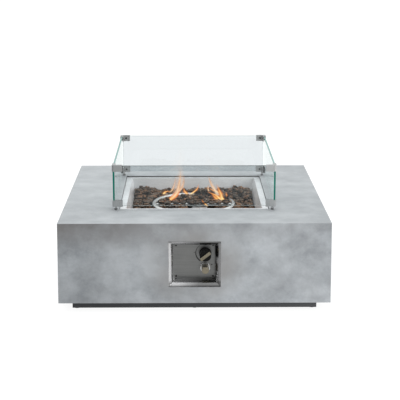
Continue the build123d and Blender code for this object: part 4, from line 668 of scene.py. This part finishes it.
# %% Hoses and leads
WAVES = 2600.0
braid = Finish("braided_steel", metallic=1.0)
x, y, z = braid.axes(braid.place())
one_way = braid.maths("SINE", (x + y + z) * WAVES)
other_way = braid.maths("SINE", (x - y + z) * WAVES)
weave = braid.maths("MAXIMUM", one_way, other_way) * 0.5 + 0.5
braid.set("Base Color", braid.tint(weave, (0.20, 0.20, 0.21), (0.66, 0.66, 0.67)))
braid.set("Roughness", braid.between(weave, 0.0, 1.0, 0.55, 0.30))
braid.relief(weave, 0.0003)
dress(braid, "supply_hose", "burner_hose")
silicone = mottled("red_silicone", (300, 3, 0.5), (0.42, 0.03, 0.02), (0.55, 0.05, 0.03), roughness=0.55)
dress(silicone, "ignition_lead")
copper = ground_steel("drawn_copper", (500, 500, 500), (0.60, 0.30, 0.18), (0.78, 0.44, 0.30), 0.25, 0.40)
dress(copper, "thermocouple_lead")
sleeve = mottled("battery_sleeve", (400, 2, 0.5), (0.10, 0.16, 0.26), (0.14, 0.21, 0.32), roughness=0.35)
dress(sleeve, "igniter_battery")

# %% [markdown]
# ## Lava rock
# Each packed stone of the top layer keeps its place, but a real one is broken and full of bubbles. A stone
# here starts as a fine ball. A few flat cuts make it angular, noise at three sizes roughens it, and small
# round pits open its bubbles. The finish adds the finest pores, and goes from nearly black in the pits, a
# painted shade, to warm brown and ash grey on the crests. Every point of the mesh also carries a number that
# says how raised it is, and the finish paints shade on the stone's lower side with it. The buried stones
# under them keep their imported shape and have no such number, so noise stands in for it.

# %% Finish of the stones
def rock_finish(name, knows_raised):
    """Lava rock, for a mesh whose points know how raised they are or for one whose points don't."""
    rock = Finish(name, specular_ior_level=0.2)
    spot = rock.place()
    pores = rock.cells(spot, 420)
    small_pores = rock.cells(spot, 1100)
    rough = rock.clouds(spot, 140, 5, 0.7)
    patch = rock.clouds(spot, 34, 3, 0.6)
    crest = rock.between(rough, 0.43, 0.60)
    dark = rock.tint(rock.between(patch, 0.42, 0.60), (0.006, 0.004, 0.004), (0.020, 0.011, 0.007))
    light = rock.tint(rock.between(patch, 0.46, 0.60), (0.205, 0.158, 0.122), (0.345, 0.172, 0.082))
    ash = rock.between(rock.clouds(spot, 75, 2, 0.5), 0.62, 0.68)
    light = rock.tint(ash * 0.8, light, (0.58, 0.47, 0.34))
    # Painted shade: the pits of the pores and the stones' low sides go nearly black.
    pit_shade = rock.between(pores, 0.42, 0.12) * 0.9
    if knows_raised:
        raised = rock.node("Attribute", out="Fac", attribute_name="raised")
    else:
        raised = rock.clouds(spot, 60, 3, 0.6)
    open_part = rock.between(raised, 0.34, 0.78)
    lit = (crest * 0.82 + 0.18) * open_part * (1 - pit_shade)
    rock.set("Base Color", rock.tint(lit.clamped(), dark, light))
    rock.set("Roughness", rock.between(rough, 0.3, 0.7, 0.72, 0.92))
    bubbles = rock.between(pores, 0.1, 0.5) * 0.35 + rock.between(small_pores, 0.1, 0.5) * 0.15
    rock.relief(rough * 0.5 + bubbles, 0.0032)
    return rock


lava = rock_finish("lava_rock", True)
bed_lava = rock_finish("buried_lava_rock", False)
dress(bed_lava, "bed_stones")


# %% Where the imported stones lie
STEPS_PER_METRE = 20000


def islands(mesh):
    """Separate solids of a mesh, as lists of corner points; corners in one 0.05 mm step are the same."""
    places = {}
    home = []
    for vertex in mesh.vertices:
        key = tuple(round(c * STEPS_PER_METRE) for c in vertex.co)
        home.append(places.setdefault(key, len(places)))
    parent = list(range(len(places)))

    def root(n):
        while parent[n] != n:
            parent[n] = parent[parent[n]]
            n = parent[n]
        return n

    for face in mesh.polygons:
        first = root(home[face.vertices[0]])
        for n in face.vertices[1:]:
            parent[root(home[n])] = first
    groups = {}
    for key, n in places.items():
        groups.setdefault(root(n), []).append(Vector(key) / STEPS_PER_METRE)
    return list(groups.values())


stones = islands(nodes["lava_rocks"].data)
print(len(stones), "loose stones in the packed model")


# %% One stone
CUTS = 9
PITS = 14


def ball_of(levels):
    """Directions and faces of a ball of triangles."""
    ball = bmesh.new()
    bmesh.ops.create_icosphere(ball, subdivisions=levels, radius=1.0)
    points = [v.co.normalized() for v in ball.verts]
    faces = [tuple(v.index for v in face.verts) for face in ball.faces]
    ball.free()
    return points, faces


def any_direction(draw):
    return Vector((draw.gauss(0, 1), draw.gauss(0, 1), draw.gauss(0, 1))).normalized()


def broken_stone(ways, middle, half, draw):
    """Points of one stone in a box of half sizes, and how raised each is."""
    cuts = [(any_direction(draw), draw.uniform(0.62, 0.88)) for n in range(CUTS)]
    pits = [(any_direction(draw), draw.uniform(0.14, 0.34)) for n in range(PITS)]
    shift = Vector((draw.uniform(0, 90), draw.uniform(0, 90), draw.uniform(0, 90)))
    tone = draw.uniform(0.08, 0.70)
    turn = Matrix.Rotation(draw.uniform(0, math.tau), 3, any_direction(draw))
    points = []
    raised = []
    for way in ways:
        r = 1.04
        for normal, depth in cuts:
            across = way.dot(normal)
            if across > 0:
                r = min(r, depth / across)
        r *= 1 + 0.24 * noise.noise(way * 1.7 + shift) + 0.28 * noise.noise(way * 4.4 + shift)
        r += 0.18 * noise.noise(way * 9.5 + shift)
        for centre, size in pits:
            gap = (way - centre).length
            if gap < size:
                r -= 0.45 * size * (1 - (gap / size) ** 2)
        point = turn @ (way * r)
        points.append(middle + Vector((point.x * half.x, point.y * half.y, point.z * half.z)))
        # How raised the point is, with the stone's own random tone; the finish paints shade on the low points
        # with it.
        raised.append(tone + 0.45 * point.z + 1.3 * (r - 0.85))
    return points, raised


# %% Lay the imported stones
fine_ball = ball_of(3)
coarse_ball = ball_of(2)
draw = random.Random(7)
rock_points = []
rock_faces = []
rock_raised = []
laid = []


def lay_stone(middle, half, ball=fine_ball):
    """Add a stone to the pile; every call takes the next random draws."""
    start = len(rock_points)
    ways, faces = ball
    points, raised = broken_stone(ways, middle, half, draw)
    rock_points.extend(points)
    rock_raised.extend(raised)
    rock_faces.extend(tuple(n + start for n in face) for face in faces)
    laid.append((middle, half))


for corners in stones:
    low = Vector([min(c[n] for c in corners) for n in range(3)])
    high = Vector([max(c[n] for c in corners) for n in range(3)])
    size = (high - low) / 2
    middle = (low + high) / 2
    broad = min(max(size.x, size.y), 1.35 * min(size.x, size.y))
    half = Vector((broad, broad, size.z)) * draw.uniform(0.96, 1.14)
    middle += Vector((draw.uniform(-1, 1), draw.uniform(-1, 1), 0)) * 0.003
    lay_stone(middle, half)
print(len(laid), "stones on the packed ones' places")

# %% [markdown]
# Small chips fill the gaps: each is dropped at a random place, but not on the ring, on its cross tube or
# where no stone carries it. Two rows of stones then lie on the ring's far right quarter, and each of the
# pan's far corners gets a small heap.

# %% Chips between and on them
BED_HALF = 0.214
CHIPS = 150
TUBE_W = 0.016
CROSS_TUBE_HALF = 0.02


def top_of_pile(x, y):
    """Height of the stones already laid, at this place."""
    height = 0.0
    for middle, half in laid:
        reach = 1 - ((x - middle.x) / half.x) ** 2 - ((y - middle.y) / half.y) ** 2
        if reach > 0:
            height = max(height, middle.z + 0.88 * half.z * math.sqrt(reach))
    return height


ring_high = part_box("burner_ring")[1]
ring_out = ring_high.x
ring_in = ring_out - TUBE_W
chips = 0
while chips < CHIPS:
    x, y = draw.uniform(-BED_HALF, BED_HALF), draw.uniform(-BED_HALF, BED_HALF)
    size = draw.uniform(0.0055, 0.0095)
    from_middle = math.hypot(x, y)
    on_ring = ring_in - size < from_middle < ring_out + size
    on_cross_tube = abs(y) < CROSS_TUBE_HALF and from_middle < ring_in
    base = top_of_pile(x, y)
    if on_ring or on_cross_tube or base == 0:
        continue
    half = Vector((size, size * draw.uniform(0.8, 1.2), size * 0.85))
    lay_stone(Vector((x, y, base + 0.25 * size)), half, coarse_ball)
    chips += 1
print(chips, "chips")

# %% Stones on the ring and in the far corners
for angle in range(30, 86, 6):
    turn = math.radians(angle + draw.uniform(-2, 2))
    for radius in (ring_in - 0.006, ring_in + 0.010):
        size = draw.uniform(0.0115, 0.0145)
        middle = Vector((radius * math.cos(turn), radius * math.sin(turn), ring_high.z + 0.62 * size))
        lay_stone(middle, Vector((size, size * draw.uniform(0.85, 1.15), size * 0.9)))
corner_heap = ((0.206, 0.205, 0.257), (0.204, 0.176, 0.260), (0.207, 0.146, 0.258), (0.178, 0.206, 0.260),
               (0.150, 0.207, 0.256), (0.180, 0.180, 0.264), (0.176, 0.150, 0.263), (0.206, 0.118, 0.258))
for side in (-1, 1):
    for x, y, z in corner_heap:
        size = draw.uniform(0.012, 0.0155)
        lay_stone(Vector((side * x, y, z)), Vector((size, size, size * 0.85)))
rock_pile = new_mesh("lava_rock_pile", rock_points, rock_faces, lava, smooth=True)
rock_pile.data.attributes.new("raised", "FLOAT", "POINT").data.foreach_set("value", rock_raised)
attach(rock_pile, "table")
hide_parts("lava_rocks")
print("stones laid:", len(laid), "with", len(rock_faces), "faces")

# %% [markdown]
# ## Flames
# A gas flame is thin and ragged: bright yellow where it leaves the stones, orange higher up, and a pale haze
# at the tips. Each tongue is three ribbons that cross along one bent line, so it has body from every side.
# The ribbon's UV runs across and along it, and the finish fades it out towards its sides and its tip.

# %% Finish of the flames
def flame_finish(name, density, strength, stops):
    """Light that fades towards a ribbon's sides and tip; the stops run from its cool rim to its hot core."""
    fire = Finish(name, roughness=1.0)
    uv = fire.node("TexCoord", out="UV")
    across, along, _ = fire.axes(uv)
    licks = fire.clouds(fire.stretched(uv, 5, 1.5, 1), 1.0, 3, 0.6)
    side = 1 - abs(across * 2.0 - 1.0)
    soft_side = fire.between(side + (licks - 0.5) * 0.9, 0.05, 0.75)
    fade = fire.between(along, 1.0, 0.35) * fire.between(along, 0.0, 0.10)
    body = (soft_side * fade * fire.between(licks, 0.30, 0.60, 0.45, 1.0) * density).clamped()
    heat = (side * 0.70 + (1 - along) * 0.45 + (licks - 0.5) * 0.9).clamped()
    glow = fire.node("Emission", {"Color": fire.ramp(heat, stops), "Strength": strength})
    empty = fire.node("BsdfTransparent")
    fire.feed(fire.output.inputs["Surface"], fire.mixed(body, empty, glow))
    return fire


core_colours = ((0.0, (0.95, 0.13, 0.01)), (0.44, (1.0, 0.19, 0.015)), (0.70, (1.0, 0.38, 0.05)),
                (0.96, (1.0, 0.84, 0.38)))
veil_colours = ((0.0, (1.0, 0.54, 0.36)), (0.5, (1.0, 0.62, 0.42)), (0.8, (1.0, 0.76, 0.56)),
                (1.0, (1.0, 0.86, 0.66)))
streak_colours = ((0.0, (1.0, 0.46, 0.26)), (0.5, (1.0, 0.42, 0.17)), (0.8, (1.0, 0.60, 0.32)),
                  (1.0, (1.0, 0.80, 0.52)))
core_fire = flame_finish("flame_core", 0.96, 1.08, core_colours)
veil_fire = flame_finish("flame_veil", 0.40, 1.0, veil_colours)
streak_fire = flame_finish("flame_streak", 0.58, 1.0, streak_colours)

# %% One tongue
COLUMNS = 6
RIBBONS = 3
STEPS = 6
tongues = {fire: ([], [], []) for fire in (core_fire, veil_fire, streak_fire)}


def bent_line(points):
    """Points of a smooth line through x, y, z and width values, by Catmull-Rom."""
    padded = [points[0], *points, points[-1]]
    line = []
    for n in range(len(points) - 1):
        a, b, c, d = (Vector(p) for p in padded[n:n + 4])
        for step in range(STEPS):
            t = step / STEPS
            line.append(0.5 * (2 * b + (c - a) * t + (2 * a - 5 * b + 4 * c - d) * t * t
                               + (3 * b - a - 3 * c + d) * t ** 3))
    return line + [Vector(points[-1])]


def tongue(fire, *points):
    """Crossing ribbons along a line of points, each x, y, z and width in millimetres."""
    corners, faces, uvs = tongues[fire]
    line = bent_line([[v / 1000 for v in point] for point in points])
    rows = len(line) - 1
    for ribbon in range(RIBBONS):
        start = len(corners)
        for row, point in enumerate(line):
            twist = math.pi * ribbon / RIBBONS + 0.5 * row / len(line)
            for column in range(COLUMNS + 1):
                offset = (column / COLUMNS - 0.5) * point[3]
                corners.append((point[0] + offset * math.cos(twist), point[1] + offset * math.sin(twist),
                                point[2]))
        for row in range(rows):
            for column in range(COLUMNS):
                a = start + row * (COLUMNS + 1) + column
                faces.append((a, a + 1, a + COLUMNS + 2, a + COLUMNS + 1))
                u0, u1 = column / COLUMNS, (column + 1) / COLUMNS
                v0, v1 = row / rows, (row + 1) / rows
                uvs.extend((u0, v0, u1, v0, u1, v1, u0, v1))


# %% The fire on the left
tongue(veil_fire, (-80, 40, 262, 26), (-62, 42, 288, 38), (-50, 44, 320, 44), (-48, 45, 352, 38),
       (-46, 45, 390, 24))
tongue(core_fire, (-116, 36, 247, 18), (-98, 38, 254, 30), (-80, 40, 266, 34), (-64, 42, 282, 32),
       (-54, 43, 300, 22), (-50, 44, 322, 9))
tongue(core_fire, (-100, 40, 252, 16), (-82, 42, 262, 26), (-66, 43, 276, 26), (-56, 44, 294, 16),
       (-50, 45, 334, 8))
tongue(streak_fire, (-88, 44, 288, 12), (-78, 45, 296, 13), (-69, 45, 320, 10), (-65, 45, 348, 7))
tongue(streak_fire, (-60, 43, 285, 16), (-54, 44, 315, 13), (-49, 45, 340, 10), (-47, 45, 368, 6))
tongue(streak_fire, (-54, 44, 290, 14), (-44, 45, 302, 13), (-37, 45, 322, 11), (-34, 45, 352, 7))
tongue(core_fire, (-112, 118, 262, 12), (-106, 118, 270, 18), (-96, 118, 274, 18), (-86, 118, 268, 10))
tongue(core_fire, (-12, 116, 255, 12), (-22, 117, 262, 20), (-30, 118, 270, 20), (-35, 118, 279, 12),
       (-36, 118, 290, 5))
tongue(core_fire, (-12, 116, 262, 12), (0, 117, 270, 16), (11, 118, 279, 13), (17, 118, 290, 8),
       (20, 118, 302, 4))

# %% The fire on the right
tongue(core_fire, (108, 56, 256, 20), (105, 58, 264, 28), (99, 60, 280, 22), (91, 60, 298, 14),
       (84, 60, 316, 6))
tongue(core_fire, (104, 58, 252, 20), (94, 60, 262, 28), (80, 61, 273, 24), (64, 62, 280, 16),
       (50, 62, 286, 8))
tongue(core_fire, (102, 58, 258, 18), (113, 60, 266, 20), (121, 60, 273, 14), (118, 60, 284, 7))
tongue(core_fire, (98, 52, 250, 14), (86, 54, 259, 20), (76, 56, 268, 16), (66, 58, 278, 7))
tongue(core_fire, (92, 66, 280, 14), (80, 67, 287, 18), (68, 68, 291, 15), (58, 68, 298, 7))
tongue(streak_fire, (80, 64, 290, 12), (70, 65, 303, 13), (61, 66, 322, 10), (54, 66, 344, 6))
tongue(streak_fire, (56, 66, 286, 10), (53, 66, 298, 10), (55, 66, 312, 6))
tongue(veil_fire, (92, 62, 270, 30), (78, 64, 292, 30), (66, 66, 315, 22), (57, 68, 342, 12))
tongue(core_fire, (50, -20, 251, 8), (42, -20, 259, 12), (35, -20, 266, 10), (27, -20, 278, 4))

# %% Make the flames and let them glow
for fire, (corners, faces, uvs) in tongues.items():
    flames = new_mesh(fire.material.name, corners, faces, fire)
    flames.data.uv_layers.new(name="ribbon").data.foreach_set("uv", uvs)
    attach(flames, "table")
    print(fire.material.name, "has", len(faces), "faces")
for place in ((-0.075, 0.035, 0.285), (0.088, 0.050, 0.280)):
    ember, holder = new_lamp("fire_glow", "POINT", place, 0.08)
    ember.color = (1.0, 0.42, 0.14)
    ember.shadow_soft_size = 0.015
    holder.visible_camera = False
    holder.visible_glossy = False
    holder.visible_transmission = False
